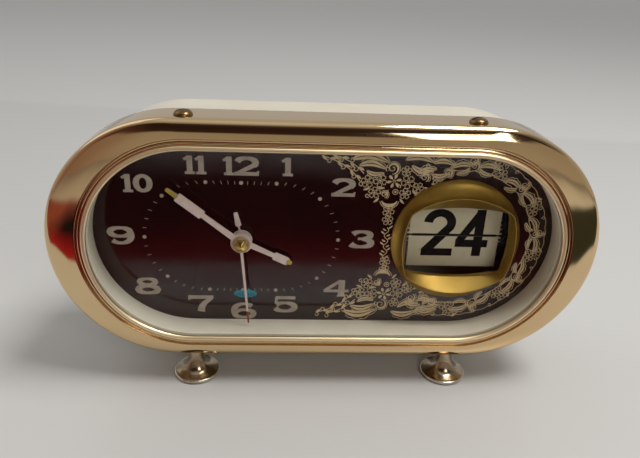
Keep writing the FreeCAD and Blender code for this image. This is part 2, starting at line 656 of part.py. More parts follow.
def case_outside():
    """Outer form of the moulded case, tapered to the rear with a rounded rear edge."""
    body = racetrack_loft([
        (BEZEL_STRAIGHT, CASE_FRONT_RADIUS, CASE_FRONT),
        (BEZEL_STRAIGHT, CASE_FRONT_RADIUS, BAND_REAR - 1.0),
        (BEZEL_STRAIGHT, CASE_REAR_RADIUS, CASE_REAR),
    ])
    rear_edges = [edge for edge in body.Edges if edge.BoundBox.YMin > CASE_REAR - MID_DEPTH - 0.01]
    return body.makeFillet(CASE_EDGE_ROUND, rear_edges)


def case_shell():
    """Cream case: a tub with a shoulder for the dial and an opening in the rear wall for the cover."""
    inner_rear = CASE_REAR - REAR_WALL
    dial_seat = racetrack_block(BEZEL_STRAIGHT, DIAL_RADIUS, CASE_FRONT, DIAL_REAR)
    cavity = racetrack_loft([
        (BEZEL_STRAIGHT, SHOULDER_RADIUS, DIAL_REAR),
        (BEZEL_STRAIGHT, CASE_REAR_RADIUS - CASE_WALL, inner_rear),
    ])
    rear_opening = racetrack_block(BEZEL_STRAIGHT, OPENING_RADIUS, inner_rear, CASE_REAR)
    cover_recess = racetrack_block(BEZEL_STRAIGHT, COVER_RADIUS + COVER_PLAY, COVER_FRONT, CASE_REAR)
    shell = case_outside().cut(dial_seat).cut(cavity).cut(rear_opening).cut(cover_recess)
    shell = shell.cut(screw_holes(CASE_FRONT_RADIUS))
    for x, z in cover_screw_places():
        shell = shell.cut(rod(x, z, COVER_SCREW_HEAD * 0.6, inner_rear, COVER_FRONT))
    for side in (-1, 1):
        start = at(side * FOOT_X, REAR_FOOT_DEPTH, -CASE_FRONT_RADIUS - 1.0)
        shell = shell.cut(Part.makeCylinder(STUD_RADIUS + STUD_PLAY, CASE_WALL * 4.0, start, UPWARDS))
    return shell


def cover_screw_places():
    """Where the four screws of the rear cover sit."""
    height = COVER_RADIUS - COVER_LEDGE / 2.0
    return [(sx * COVER_SCREW_X, sz * height) for sx in (-1, 1) for sz in (-1, 1)]


def sound_slot(z, front, rear):
    """A slot with round ends that lets the bell be heard, at one height."""
    straight = SOUND_SLOT_HALF_WIDTH - SOUND_SLOT_RADIUS
    middle = block(BELL_X - straight, BELL_X + straight, front, rear, z - SOUND_SLOT_RADIUS, z + SOUND_SLOT_RADIUS)
    ends = [rod(BELL_X + side * straight, z, SOUND_SLOT_RADIUS, front, rear) for side in (-1, 1)]
    return joined(middle, *ends)


def cover_holes():
    """Everything that passes through the rear cover: arbors, rods, the regulator slot, sound slots."""
    front = COVER_FRONT - 0.5
    rear = CASE_REAR + 0.5
    holes = [
        rod(*BARREL, WINDING_ARBOR + 0.6, front, rear),
        rod(*ALARM_BARREL, WINDING_ARBOR + 0.6, front, rear),
        rod(*TIME_SET, SET_ARBOR + 0.6, front, rear),
        rod(*ALARM_SET, SET_ARBOR + 0.6, front, rear),
        rod(*STOP, STOP_RADIUS + RUNNING_FIT, front, rear),
        rod(PUSH_ROD_X, PUSH_ROD_Z, PUSH_ROD_RADIUS + RUNNING_FIT, front, rear),
    ]
    slot_z = BALANCE[1] + REGULATOR_REACH
    holes.append(block(BALANCE[0] - 4.2, BALANCE[0] + 4.2, front, rear, slot_z - 1.6, slot_z + 1.4))
    for side in (-1, 1):
        holes.append(sound_slot(BELL_Z + side * SOUND_SLOT_RISE, front, rear))
    for x, z in cover_screw_places():
        holes.append(rod(x, z, COVER_SCREW_HEAD * 0.6, front, rear))
    return Part.makeCompound(holes)


def back_cover():
    """Flat rear cover, let into the case."""
    return racetrack_block(BEZEL_STRAIGHT, COVER_RADIUS, COVER_FRONT, CASE_REAR).cut(cover_holes())


def slotted_head(x, z, radius, height, front):
    """A domed slotted screw head that stands towards the rear on a face at the given depth."""
    profile = [(0.0, front), (radius, front), (radius * 0.86, front + height * 0.6), (0.0, front + height)]
    head = turned_axial(x, z, profile)
    return head.cut(block(x - radius, x + radius, front + height * 0.5, front + height, z - 0.3, z + 0.3))


def back_cover_screws():
    """Four screws that hold the rear cover on the case."""
    screws = []
    for x, z in cover_screw_places():
        head = slotted_head(x, z, COVER_SCREW_HEAD, COVER_SCREW_RISE, CASE_REAR)
        shank = rod(x, z, COVER_SCREW_HEAD * 0.6, CASE_REAR - REAR_WALL, CASE_REAR)
        screws.append(joined(head, shank))
    return Part.makeCompound(screws)


def bezel_screws():
    """Two domed slotted screws on top of the band that hold the bezel on the case."""
    top = CENTRE_HEIGHT + BEZEL_RADIUS
    foot = CENTRE_HEIGHT + DIAL_RADIUS - 0.6
    screws = []
    for side in (-1, 1):
        x = side * FOOT_X
        screw = turned_upright(x, FRONT_FOOT_DEPTH, [
            (0.0, foot),
            (STUD_RADIUS, foot),
            (STUD_RADIUS, top),
            (SCREW_HEAD_RADIUS, top),
            (SCREW_HEAD_RADIUS * 0.94, top + SCREW_HEAD_HEIGHT * 0.45),
            (SCREW_HEAD_RADIUS * 0.6, top + SCREW_HEAD_HEIGHT * 0.86),
            (0.0, top + SCREW_HEAD_HEIGHT),
        ])
        slot = Part.makeBox(
            2.0 * SCREW_HEAD_RADIUS, SCREW_SLOT, SCREW_HEAD_HEIGHT,
            V(x - SCREW_HEAD_RADIUS, FRONT_FOOT_DEPTH - MID_DEPTH - SCREW_SLOT / 2.0,
              top + SCREW_HEAD_HEIGHT * 0.55),
        )
        screws.append(screw.cut(slot))
    return Part.makeCompound(screws)


def foot(x, depth, seat, inside):
    """A trumpet-shaped foot with its stud and nut; seat and inside are heights above the table."""
    return turned_upright(x, depth, [
        (0.0, 0.0),
        (FOOT_RIM_RADIUS * 0.72, 0.0),
        (FOOT_RIM_RADIUS * 0.97, FOOT_RIM_THICK * 0.6),
        (FOOT_RIM_RADIUS, FOOT_RIM_THICK * 1.3),
        (FOOT_RIM_RADIUS * 0.94, FOOT_RIM_THICK * 2.0),
        (FOOT_RIM_RADIUS * 0.66, FOOT_RIM_THICK * 2.9),
        (FOOT_STEM_RADIUS * 1.5, FOOT_RIM_THICK * 4.6),
        (FOOT_STEM_RADIUS * 1.12, FOOT_RIM_THICK * 7.0),
        (FOOT_STEM_RADIUS, seat),
        (STUD_RADIUS, seat),
        (STUD_RADIUS, inside),
        (0.0, inside),
    ])


def front_feet():
    """The two front feet, screwed up through the band into the case."""
    inside = CENTRE_HEIGHT - DIAL_RADIUS + 0.6
    feet = [foot(side * FOOT_X, FRONT_FOOT_DEPTH, FOOT_HEIGHT, inside) for side in (-1, 1)]
    return Part.makeCompound(feet)


def rear_feet():
    """The two rear feet, with longer stems, cut to the slope of the case they bear against."""
    case_bottom = CENTRE_HEIGHT - CASE_REAR_RADIUS
    solids = []
    for side in (-1, 1):
        seat = case_bottom + 2.0
        stem = foot(side * FOOT_X, REAR_FOOT_DEPTH, seat, seat)
        start = V(side * FOOT_X, REAR_FOOT_DEPTH - MID_DEPTH, FOOT_HEIGHT)
        length = case_bottom + CASE_WALL + STUD_NUT_THICK - FOOT_HEIGHT
        stud = Part.makeCylinder(STUD_RADIUS, length, start, UPWARDS)
        solids.append(joined(stem.cut(case_outside()), stud))
    return Part.makeCompound(solids)


# ---------------------------------------------------------------- movement frame
CORNERS = [(sx, sz) for sx in (0, 1) for sz in (0, 1)]


def plate_corner(inset, right, high):
    """A place near a corner of the movement plates."""
    x = HANDS_X + (PLATE_RIGHT - inset if right else PLATE_LEFT + inset)
    z = HANDS_Z + (PLATE_HIGH - inset if high else PLATE_LOW + inset)
    return x, z


def movement_plate(front):
    """A plate of the movement with cut corners."""
    left, right = HANDS_X + PLATE_LEFT, HANDS_X + PLATE_RIGHT
    low, high = HANDS_Z + PLATE_LOW, HANDS_Z + PLATE_HIGH
    cut = PLATE_CORNER * 0.4
    return plate([
        (left + cut, low), (right - cut, low), (right, low + cut), (right, high - cut),
        (right - cut, high), (left + cut, high), (left, high - cut), (left, low + cut),
    ], front, PLATE_THICK)


def bored(solid, places, front, rear):
    """A solid with round holes; each place is ((x, z), radius)."""
    for (x, z), radius in places:
        solid = solid.cut(rod(x, z, radius, front, rear))
    return solid


def pillar_places():
    """Centres of the four pillars."""
    return [plate_corner(PILLAR_INSET, right, high) for right, high in CORNERS]


def movement_front_plate():
    """Front plate with the posts that carry it on the dial and the stud of the minute wheel."""
    base = movement_plate(FRONT_PLATE_DEPTH)
    posts = []
    for right, high in CORNERS:
        x, _ = plate_corner(PILLAR_INSET, right, high)
        z = HANDS_Z + (DIAL_POST_HEIGHT if high else -DIAL_POST_HEIGHT)
        posts.append(rod(x, z, PILLAR_RADIUS, DIAL_REAR, FRONT_PLATE_DEPTH))
    stud = rod(*MINUTE_WHEEL, ARBOR, HOUR_WHEEL_DEPTH - STUD_GAP, FRONT_PLATE_DEPTH)
    arbors = [
        (HANDS, MINUTE_PIPE + RUNNING_FIT),
        (THIRD, ARBOR + RUNNING_FIT),
        (ESCAPE, ARBOR + RUNNING_FIT),
        (BARREL, WINDING_ARBOR + RUNNING_FIT),
        (ALARM_BARREL, WINDING_ARBOR + RUNNING_FIT),
        (TIME_SET, SET_ARBOR + RUNNING_FIT),
        (ALARM_SET, SET_ARBOR + RUNNING_FIT),
    ]
    holes = arbors + [(place, PILLAR_RADIUS * 0.6) for place in pillar_places()]
    return joined(bored(base, holes, FRONT_PLATE_DEPTH, FRONT_PLATE_REAR), stud, *posts)


def escape_potence():
    """Post and arm that carry the front end of the escape arbor behind the third wheel."""
    post = offset(ESCAPE, POTENCE_REACH, ESCAPE_DIRECTION - 90.0)
    side = ESCAPE_DIRECTION
    arm = plate([
        offset(post, POTENCE_RADIUS, side), offset(ESCAPE, POTENCE_RADIUS, side),
        offset(ESCAPE, -POTENCE_RADIUS, side), offset(post, -POTENCE_RADIUS, side),
    ], POTENCE_DEPTH, POTENCE_THICK)
    tip = rod(*ESCAPE, POTENCE_RADIUS, POTENCE_DEPTH, POTENCE_DEPTH + POTENCE_THICK)
    return joined(arm, tip, rod(*post, POTENCE_RADIUS, POTENCE_DEPTH, REAR_PLATE_DEPTH))


def movement_rear_plate():
    """Rear plate with the stud of the alarm hammer and the potence of the escape arbor."""
    base = movement_plate(REAR_PLATE_DEPTH)
    arbors = [
        (HANDS, SECONDS_ARBOR + RUNNING_FIT),
        (THIRD, ARBOR + RUNNING_FIT),
        (ESCAPE, ARBOR + RUNNING_FIT),
        (BARREL, WINDING_ARBOR + RUNNING_FIT),
        (ALARM_BARREL, WINDING_ARBOR + RUNNING_FIT),
        (TIME_SET, SET_ARBOR + RUNNING_FIT),
        (ALARM_SET, SET_ARBOR + RUNNING_FIT),
        (BALANCE, ARBOR + RUNNING_FIT),
        (PALLET, ARBOR * 0.7 + RUNNING_FIT),
        (STOP, STOP_RADIUS + RUNNING_FIT),
    ]
    holes = arbors + [(place, PILLAR_RADIUS * 0.6) for place in pillar_places()]
    stud = rod(*HAMMER, HAMMER_STUD, REAR_PLATE_REAR, HAMMER_HUB_REAR)
    bore = rod(*ESCAPE, ARBOR * 0.8 + RUNNING_FIT, POTENCE_DEPTH, REAR_PLATE_DEPTH)
    potence = escape_potence().cut(bore)
    return joined(bored(base, holes, REAR_PLATE_DEPTH, REAR_PLATE_REAR), stud, potence)


def movement_pillars():
    """Four turned pillars with thinner ends that pass through both plates."""
    pillars = []
    for x, z in pillar_places():
        ends = rod(x, z, PILLAR_RADIUS * 0.6, FRONT_PLATE_DEPTH - NUT_THICK, REAR_PLATE_REAR + NUT_THICK)
        pillars.append(joined(rod(x, z, PILLAR_RADIUS, FRONT_PLATE_REAR, REAR_PLATE_DEPTH), ends))
    return Part.makeCompound(pillars)


def movement_nuts():
    """Nuts on both ends of the pillars."""
    nuts = []
    for x, z in pillar_places():
        for front in (FRONT_PLATE_DEPTH - NUT_THICK, REAR_PLATE_REAR):
            bore = rod(x, z, PILLAR_RADIUS * 0.6, front, front + NUT_THICK)
            nuts.append(hex_nut(x, z, NUT_RADIUS, front, NUT_THICK).cut(bore))
    return Part.makeCompound(nuts)


def balance_cock():
    """Bridge on two feet over the balance."""
    x, z = BALANCE
    reach = BALANCE_RADIUS + 1.9
    beam = block(x - reach - 1.5, x + reach + 1.5, COCK_DEPTH, COCK_REAR, z - 2.4, z + 2.4)
    feet = [rod(x + side * reach, z, 1.4, REAR_PLATE_REAR, COCK_DEPTH) for side in (-1, 1)]
    return joined(beam, *feet).cut(rod(x, z, ARBOR + RUNNING_FIT, COCK_DEPTH, COCK_REAR))


# ---------------------------------------------------------------- train
def collared(place, radius, front, rear, *wheels):
    """An arbor with its wheels and pinions fused on it."""
    return joined(rod(*place, radius, front, rear), *wheels)


def seconds_phase():
    """Phase of the seconds pinion against the third wheel."""
    direction = THIRD_DIRECTION + 180.0
    return mesh_phase(THIRD_WHEEL_PHASE, THIRD_TEETH, direction, SECONDS_PINION_TEETH)


def seconds_arbor():
    """Long thin arbor of the seconds hand, with its pinion and the fourth wheel."""
    front = THIRD_WHEEL_DEPTH - WHEEL_THICK
    rear = THIRD_WHEEL_DEPTH + 2.0 * WHEEL_THICK
    phase = seconds_phase()
    pinion = gear(HANDS, SECONDS_PINION_TEETH, THIRD_MODULE, front, rear - front, phase, SECONDS_ARBOR)
    wheel_front = FOURTH_WHEEL_DEPTH
    wheel = gear(HANDS, FOURTH_TEETH, ESCAPE_MODULE, wheel_front, FOURTH_WHEEL_THICK, 0.0, SECONDS_ARBOR)
    hub = rod(*HANDS, 1.6, rear, FOURTH_WHEEL_DEPTH)
    return collared(HANDS, SECONDS_ARBOR, CAP_TIP_DEPTH + CAP_WALL, REAR_PLATE_REAR, pinion, wheel, hub)


def third_wheel():
    """Third wheel with its pinion on one arbor."""
    phase = mesh_phase(CENTRE_WHEEL_PHASE, CENTRE_TEETH, THIRD_DIRECTION, THIRD_PINION_TEETH)
    front = CENTRE_WHEEL_DEPTH - 0.6
    pinion = gear(THIRD, THIRD_PINION_TEETH, CENTRE_MODULE, front, PINION_LENGTH, phase, ARBOR)
    wheel = gear(THIRD, THIRD_TEETH, THIRD_MODULE, THIRD_WHEEL_DEPTH, WHEEL_THICK, THIRD_WHEEL_PHASE, ARBOR)
    return collared(THIRD, ARBOR, FRONT_PLATE_DEPTH, REAR_PLATE_REAR, pinion, wheel)


def escape_wheel():
    """Escape wheel with pointed teeth, and its pinion."""
    phase = mesh_phase(0.0, FOURTH_TEETH, ESCAPE_DIRECTION, ESCAPE_PINION_TEETH)
    front = FOURTH_WHEEL_DEPTH - PINION_OVERLAP
    length = FOURTH_WHEEL_THICK + PINION_OVERLAP * 1.4
    pinion = gear(ESCAPE, ESCAPE_PINION_TEETH, ESCAPE_MODULE, front, length, phase, ARBOR * 0.8)
    root = ESCAPE_RADIUS * 0.72
    corners = []
    for tooth in range(ESCAPE_TEETH):
        middle = PALLET_DIRECTION + 360.0 * (tooth + 0.5) / ESCAPE_TEETH
        for radius, shift in ((root, -ESCAPE_HOOK_ANGLE), (ESCAPE_RADIUS, 0.0), (root, ESCAPE_HEEL_ANGLE)):
            corners.append(offset(ESCAPE, radius, middle + shift))
    wheel = plate(corners, ESCAPE_WHEEL_DEPTH, ESCAPE_WHEEL_THICK)
    return collared(ESCAPE, ARBOR * 0.8, POTENCE_DEPTH, REAR_PLATE_REAR, pinion, wheel)


def pallet_lever():
    """Pin-pallet lever: an anchor with two pins beside the escape wheel."""
    pin_radius = ESCAPE_RADIUS + PALLET_PIN + PALLET_PLAY
    pins = [offset(ESCAPE, pin_radius, PALLET_DIRECTION + side * PALLET_SPREAD) for side in (-1, 1)]
    tail = offset(PALLET, 2.4, PALLET_DIRECTION)
    arms = plate([
        offset(pins[0], 0.6, PALLET_DIRECTION - 90.0), offset(tail, 0.5, PALLET_DIRECTION - 90.0),
        offset(tail, 0.5, PALLET_DIRECTION + 90.0), offset(pins[1], 0.6, PALLET_DIRECTION + 90.0),
        offset(PALLET, 0.9, PALLET_DIRECTION + 180.0),
    ], LEVER_DEPTH, LEVER_THICK)
    solids = [rod(*pin, PALLET_PIN, ESCAPE_WHEEL_DEPTH, LEVER_DEPTH) for pin in pins]
    arbor = rod(*PALLET, ARBOR * 0.7, ESCAPE_WHEEL_DEPTH + 0.2, REAR_PLATE_REAR)
    return joined(arms, arbor, *solids)


def balance_wheel():
    """Spoked balance wheel on its staff."""
    rear = BALANCE_DEPTH + BALANCE_THICK
    rim = tube(*BALANCE, BALANCE_RADIUS, BALANCE_RADIUS - 1.2, BALANCE_DEPTH, rear)
    x, z = BALANCE
    half = BALANCE_RADIUS - 0.6
    bar = block(x - half, x + half, BALANCE_DEPTH, rear, z - ARBOR, z + ARBOR)
    staff = rod(x, z, ARBOR, REAR_PLATE_DEPTH, COCK_REAR)
    return joined(rim, bar, staff)


def balance_spring():
    """Flat spiral spring round the balance staff."""
    places = []
    for side in (1, -1):
        row = []
        for step in range(SPRING_TURN_COUNT * SPRING_STEP_COUNT + 1):
            turn = step / SPRING_STEP_COUNT
            row.append(offset(BALANCE, SPRING_INNER + SPRING_PITCH * turn + side * SPRING_HALF, 360.0 * turn))
        places.extend(row if side > 0 else row[::-1])
    rear = HAIRSPRING_DEPTH + HAIRSPRING_THICK
    collet = tube(*BALANCE, SPRING_INNER + SPRING_HALF, ARBOR, HAIRSPRING_DEPTH, rear)
    return joined(plate(places, HAIRSPRING_DEPTH, HAIRSPRING_THICK), collet)


def regulator_lever():
    """Regulator ring round the cock's bearing, with a pointer that reaches through the rear cover."""
    x, z = BALANCE
    rear = REGULATOR_DEPTH + REGULATOR_THICK
    left, right = x - REGULATOR_HALF, x + REGULATOR_HALF
    tip = z + REGULATOR_REACH
    ring = tube(x, z, REGULATOR_RING, REGULATOR_BORE, REGULATOR_DEPTH, rear)
    arm = block(left, right, REGULATOR_DEPTH, rear, z + REGULATOR_RING - REGULATOR_HALF, tip)
    pointer = block(left, right, REGULATOR_DEPTH, CASE_REAR + REGULATOR_POINTER, tip - 0.9, tip)
    return joined(ring, arm, pointer)


def regulator_seat():
    """Round seat on the cock that the regulator turns on."""
    outer = REGULATOR_BORE - RUNNING_FIT
    return tube(*BALANCE, outer, ARBOR + RUNNING_FIT, COCK_REAR, REGULATOR_DEPTH + REGULATOR_SEAT_RISE)


def centre_wheel():
    """Centre wheel and the pinion that the time spring drives, loose on the centre arbor."""
    bore = MINUTE_PIPE + RUNNING_FIT
    phase = mesh_phase(0.0, GREAT_TEETH, BARREL_DIRECTION + 180.0, CENTRE_PINION_TEETH)
    front = GREAT_WHEEL_DEPTH - 0.5
    pinion = gear(HANDS, CENTRE_PINION_TEETH, BARREL_MODULE, front, PINION_LENGTH, phase, bore)
    turn = CENTRE_WHEEL_PHASE
    wheel = gear(HANDS, CENTRE_TEETH, CENTRE_MODULE, CENTRE_WHEEL_DEPTH, WHEEL_THICK, turn, bore)
    hub = tube(*HANDS, bore + 0.7, bore, front + PINION_LENGTH, CENTRE_WHEEL_DEPTH)
    return joined(pinion, hub, wheel)


def centre_arbor():
    """Hollow centre arbor that carries the minute hand and the cannon pinion."""
    bore = MINUTE_PIPE_BORE
    front = MINUTE_WHEEL_DEPTH - 0.1
    rear = CENTRE_WHEEL_REAR + 0.7
    pinion = gear(HANDS, CANNON_TEETH, MOTION_MODULE, front, WHEEL_THICK + 0.2, CANNON_PHASE, bore)
    clutch = tube(*HANDS, MINUTE_PIPE + 1.6, bore, CENTRE_WHEEL_REAR + 0.1, rear)
    pipe = tube(*HANDS, MINUTE_PIPE, bore, MINUTE_HAND_DEPTH - 0.2, rear)
    return joined(pipe, pinion, clutch)


def minute_wheel():
    """Minute wheel and its pinion, which turn the hour wheel at a twelfth of the speed."""
    wheel_phase = mesh_phase(CANNON_PHASE, CANNON_TEETH, MINUTE_WHEEL_DIRECTION, MINUTE_WHEEL_TEETH)
    bore = ARBOR + RUNNING_FIT
    place = MINUTE_WHEEL
    wheel = gear(place, MINUTE_WHEEL_TEETH, MOTION_MODULE, MINUTE_WHEEL_DEPTH, WHEEL_THICK, wheel_phase, bore)
    pinion_phase = mesh_phase(0.0, HOUR_TEETH, MINUTE_WHEEL_DIRECTION, MINUTE_PINION_TEETH)
    front = HOUR_WHEEL_DEPTH - 0.1
    length = MINUTE_WHEEL_DEPTH - front
    pinion = gear(place, MINUTE_PINION_TEETH, HOUR_MODULE, front, length, pinion_phase, bore)
    return joined(wheel, pinion)


def hour_wheel():
    """Hour wheel on the pipe that carries the hour hand."""
    wheel = gear(HANDS, HOUR_TEETH, HOUR_MODULE, HOUR_WHEEL_DEPTH, WHEEL_THICK, 0.0, HOUR_PIPE_BORE)
    return joined(wheel, tube(*HANDS, HOUR_PIPE, HOUR_PIPE_BORE, HOUR_HAND_DEPTH - 0.2, HOUR_WHEEL_DEPTH))


def alarm_wheel():
    """Alarm wheel on the pipe that carries the alarm hand."""
    wheel = gear(HANDS, ALARM_TEETH, ALARM_MODULE, ALARM_WHEEL_DEPTH, WHEEL_THICK, 0.0, ALARM_PIPE_BORE)
    return joined(wheel, tube(*HANDS, ALARM_PIPE, ALARM_PIPE_BORE, ALARM_HAND_DEPTH - 0.1, ALARM_WHEEL_DEPTH))


def time_barrel():
    """Great wheel, hub and drum of the going spring."""
    bore = WINDING_ARBOR + RUNNING_FIT
    wheel = gear(BARREL, GREAT_TEETH, BARREL_MODULE, GREAT_WHEEL_DEPTH, GREAT_WHEEL_THICK, 0.0, bore)
    hub = tube(*BARREL, BARREL_HUB, bore, GREAT_WHEEL_DEPTH, BARREL_DEPTH)
    drum = tube(*BARREL, BARREL_RADIUS, bore, BARREL_DEPTH, BARREL_REAR)
    return joined(wheel, hub, drum)


def alarm_barrel():
    """Wheel, hub and drum of the alarm spring."""
    bore = WINDING_ARBOR + RUNNING_FIT
    place = ALARM_BARREL
    front = GREAT_WHEEL_DEPTH
    wheel = gear(place, ALARM_GREAT_TEETH, ALARM_GREAT_MODULE, front, GREAT_WHEEL_THICK, 0.0, bore)
    hub = tube(*place, BARREL_HUB, bore, front, BARREL_DEPTH)
    drum = tube(*place, ALARM_BARREL_RADIUS, bore, BARREL_DEPTH, BARREL_REAR)
    return joined(wheel, hub, drum)


# ---------------------------------------------------------------- keys and knobs
def winding_arbor(place):
    """Arbor from the front plate to the winding key."""
    return rod(*place, WINDING_ARBOR, FRONT_PLATE_DEPTH, KNOB_FRONT + ARBOR_INSERT)


def winding_key(place):
    """Two-winged winding key, with an eye in each wing."""
    x, z = place
    wing_depth = KEY_REAR - KEY_WING_RADIUS
    hub = rod(x, z, KEY_HUB_RADIUS, KNOB_FRONT, KNOB_FRONT + KEY_HUB_LENGTH)
    half = KEY_SPAN / 2.0 - KEY_WING_RADIUS
    flat = KEY_THICK / 2.0
    wings = []
    for side in (-1, 1):
        centre = V(x + side * half, wing_depth - MID_DEPTH, z + CENTRE_HEIGHT - flat)
        wing = Part.makeCylinder(KEY_WING_RADIUS, KEY_THICK, centre, UPWARDS)
        wings.append(wing.cut(Part.makeCylinder(KEY_WING_RADIUS * KEY_EYE, KEY_THICK, centre, UPWARDS)))
    web_half = half * 0.55
    web = block(x - web_half, x + web_half, KNOB_FRONT + KEY_WEB_START, wing_depth + 1.5, z - flat, z + flat)
    return joined(hub, web, *wings).cut(winding_arbor(place))


def knob(place):
    """Fluted setting knob."""
    x, z = place
    corners = []
    for flute in range(FLUTE_COUNT):
        for radius, share in ((KNOB_RADIUS, -0.26), (KNOB_RADIUS, 0.26), (KNOB_RADIUS * 0.92, 0.5)):
            corners.append(offset(place, radius, 360.0 * (flute + share) / FLUTE_COUNT))
    grip = plate(corners, KNOB_FRONT + KNOB_COLLAR, KNOB_LENGTH - KNOB_COLLAR)
    collar = rod(x, z, KNOB_RADIUS * 0.6, KNOB_FRONT, KNOB_FRONT + KNOB_COLLAR)
    return joined(grip, collar).cut(rod(x, z, SET_ARBOR, KNOB_FRONT, KNOB_FRONT + ARBOR_INSERT))


def time_set_arbor():
    """Arbor of the time setting knob, with the pinion that turns the minute wheel."""
    wheel_phase = mesh_phase(CANNON_PHASE, CANNON_TEETH, MINUTE_WHEEL_DIRECTION, MINUTE_WHEEL_TEETH)
    phase = mesh_phase(wheel_phase, MINUTE_WHEEL_TEETH, TIME_SET_DIRECTION, TIME_SET_TEETH)
    pinion = gear(TIME_SET, TIME_SET_TEETH, MOTION_MODULE, MINUTE_WHEEL_DEPTH, WHEEL_THICK, phase, SET_ARBOR)
    return collared(TIME_SET, SET_ARBOR, MINUTE_WHEEL_DEPTH, KNOB_FRONT + ARBOR_INSERT, pinion)


def alarm_set_arbor():
    """Arbor of the alarm setting knob, with the pinion that turns the alarm wheel."""
    phase = mesh_phase(0.0, ALARM_TEETH, ALARM_SET_DIRECTION, ALARM_SET_TEETH)
    pinion = gear(ALARM_SET, ALARM_SET_TEETH, ALARM_MODULE, ALARM_WHEEL_DEPTH, WHEEL_THICK, phase, SET_ARBOR)
    return collared(ALARM_SET, SET_ARBOR, ALARM_WHEEL_DEPTH, KNOB_FRONT + ARBOR_INSERT, pinion)


def alarm_stop_button():
    """Push-pull rod and button that silences the alarm."""
    stem = rod(*STOP, STOP_RADIUS, REAR_PLATE_DEPTH - 1.0, CAP_FRONT)
    cap = turned_axial(*STOP, [
        (0.0, CAP_FRONT), (STOP_CAP_RADIUS - 0.4, CAP_FRONT), (STOP_CAP_RADIUS, CAP_FRONT + 1.0),
        (STOP_CAP_RADIUS, CAP_FRONT + STOP_CAP_LENGTH - 1.4),
        (STOP_CAP_RADIUS - 0.7, CAP_FRONT + STOP_CAP_LENGTH - 0.4), (0.0, CAP_FRONT + STOP_CAP_LENGTH),
    ])
    return joined(stem, cap)


def alarm_bell():
    """Cup-shaped bell with its open side to the front, on a post from the rear cover."""
    rear = BELL_REAR
    cup = turned_axial(BELL_X, BELL_Z, [
        (BELL_RADIUS, BELL_DEPTH), (BELL_RADIUS, BELL_DEPTH + BELL_HEIGHT * 0.45),
        (BELL_RADIUS * 0.8, BELL_DEPTH + BELL_HEIGHT * 0.85), (BELL_RADIUS * 0.4, rear), (0.0, rear),
        (0.0, rear - BELL_WALL), (BELL_RADIUS * 0.38, rear - BELL_WALL),
        (BELL_RADIUS * 0.8 - BELL_WALL, BELL_DEPTH + BELL_HEIGHT * 0.75),
        (BELL_RADIUS - BELL_WALL, BELL_DEPTH + BELL_HEIGHT * 0.4), (BELL_RADIUS - BELL_WALL, BELL_DEPTH),
    ])
    return joined(cup, rod(BELL_X, BELL_Z, BELL_POST_RADIUS, rear - BELL_WALL, COVER_FRONT))


def alarm_hammer():
    """Hammer arm with a round head beside the bell."""
    hub = tube(*HAMMER, HAMMER_HUB, HAMMER_STUD + RUNNING_FIT, HAMMER_DEPTH, HAMMER_HUB_REAR)
    head_place = offset(HAMMER, HAMMER_REACH, HAMMER_DIRECTION)
    side = HAMMER_DIRECTION + 90.0
    start = offset(HAMMER, 2.0, HAMMER_DIRECTION)
    arm = plate([offset(start, 0.9, side), offset(start, -0.9, side), offset(head_place, -0.6, side),
                 offset(head_place, 0.6, side)], HAMMER_DEPTH, HAMMER_THICK)
    return joined(hub, arm, rod(*head_place, HAMMER_HEAD, HAMMER_DEPTH, BELL_DEPTH + HAMMER_HEAD_RISE))


# ---------------------------------------------------------------- hands
def hand(stations, angle, front, hub_radius, bore):
    """A flat hand from (distance, half width) stations, turned clockwise from 12."""
    direction = 90.0 - angle
    left, right = [], []
    for distance, half in stations:
        middle = offset(HANDS, distance, direction)
        left.append(offset(middle, half, direction + 90.0))
        right.append(offset(middle, half, direction - 90.0))
    blade = plate(left + right[::-1], front, HAND_THICK)
    hub = rod(*HANDS, hub_radius, front, front + HAND_THICK)
    return joined(blade, hub).cut(rod(*HANDS, bore, front, front + HAND_THICK))


def minute_hand():
    """Minute hand: a stem, a broad block and a narrow luminous tip."""
    return hand([
        (1.5, 1.15), (16.2, 1.05), (16.6, 1.05), (16.6, 1.5), (17.4, 1.85), (26.6, 1.85), (27.2, 1.55),
        (27.2, 1.0), (31.2, 0.7), (31.6, 0.35),
    ], MINUTE_HAND_ANGLE, MINUTE_HAND_DEPTH, HAND_HUB, MINUTE_PIPE)


def hour_hand():
    """Hour hand of the same pattern as the minute hand."""
    return hand([
        (1.5, 1.1), (12.2, 1.0), (12.6, 1.0), (12.6, 1.4), (13.2, 1.7), (17.8, 1.7), (18.3, 1.4),
        (18.3, 0.95), (19.4, 0.8), (19.7, 0.4),
    ], HOUR_HAND_ANGLE, HOUR_HAND_DEPTH, HAND_HUB - 0.1, HOUR_PIPE)


def alarm_hand():
    """Short alarm hand: a thin neck and a tapered blade."""
    return hand([
        (2.0, 0.35), (5.2, 0.3), (5.4, 0.9), (5.9, 1.05), (10.4, 0.7), (10.6, 0.5),
    ], ALARM_HAND_ANGLE, ALARM_HAND_DEPTH, HAND_HUB, ALARM_PIPE)


def second_hand():
    """Thin seconds hand with a round boss."""
    return hand([
        (0.6, 0.5), (28.0, 0.34), (31.8, 0.22),
    ], SECOND_HAND_ANGLE, SECOND_HAND_DEPTH, SECOND_HUB, SECONDS_ARBOR)


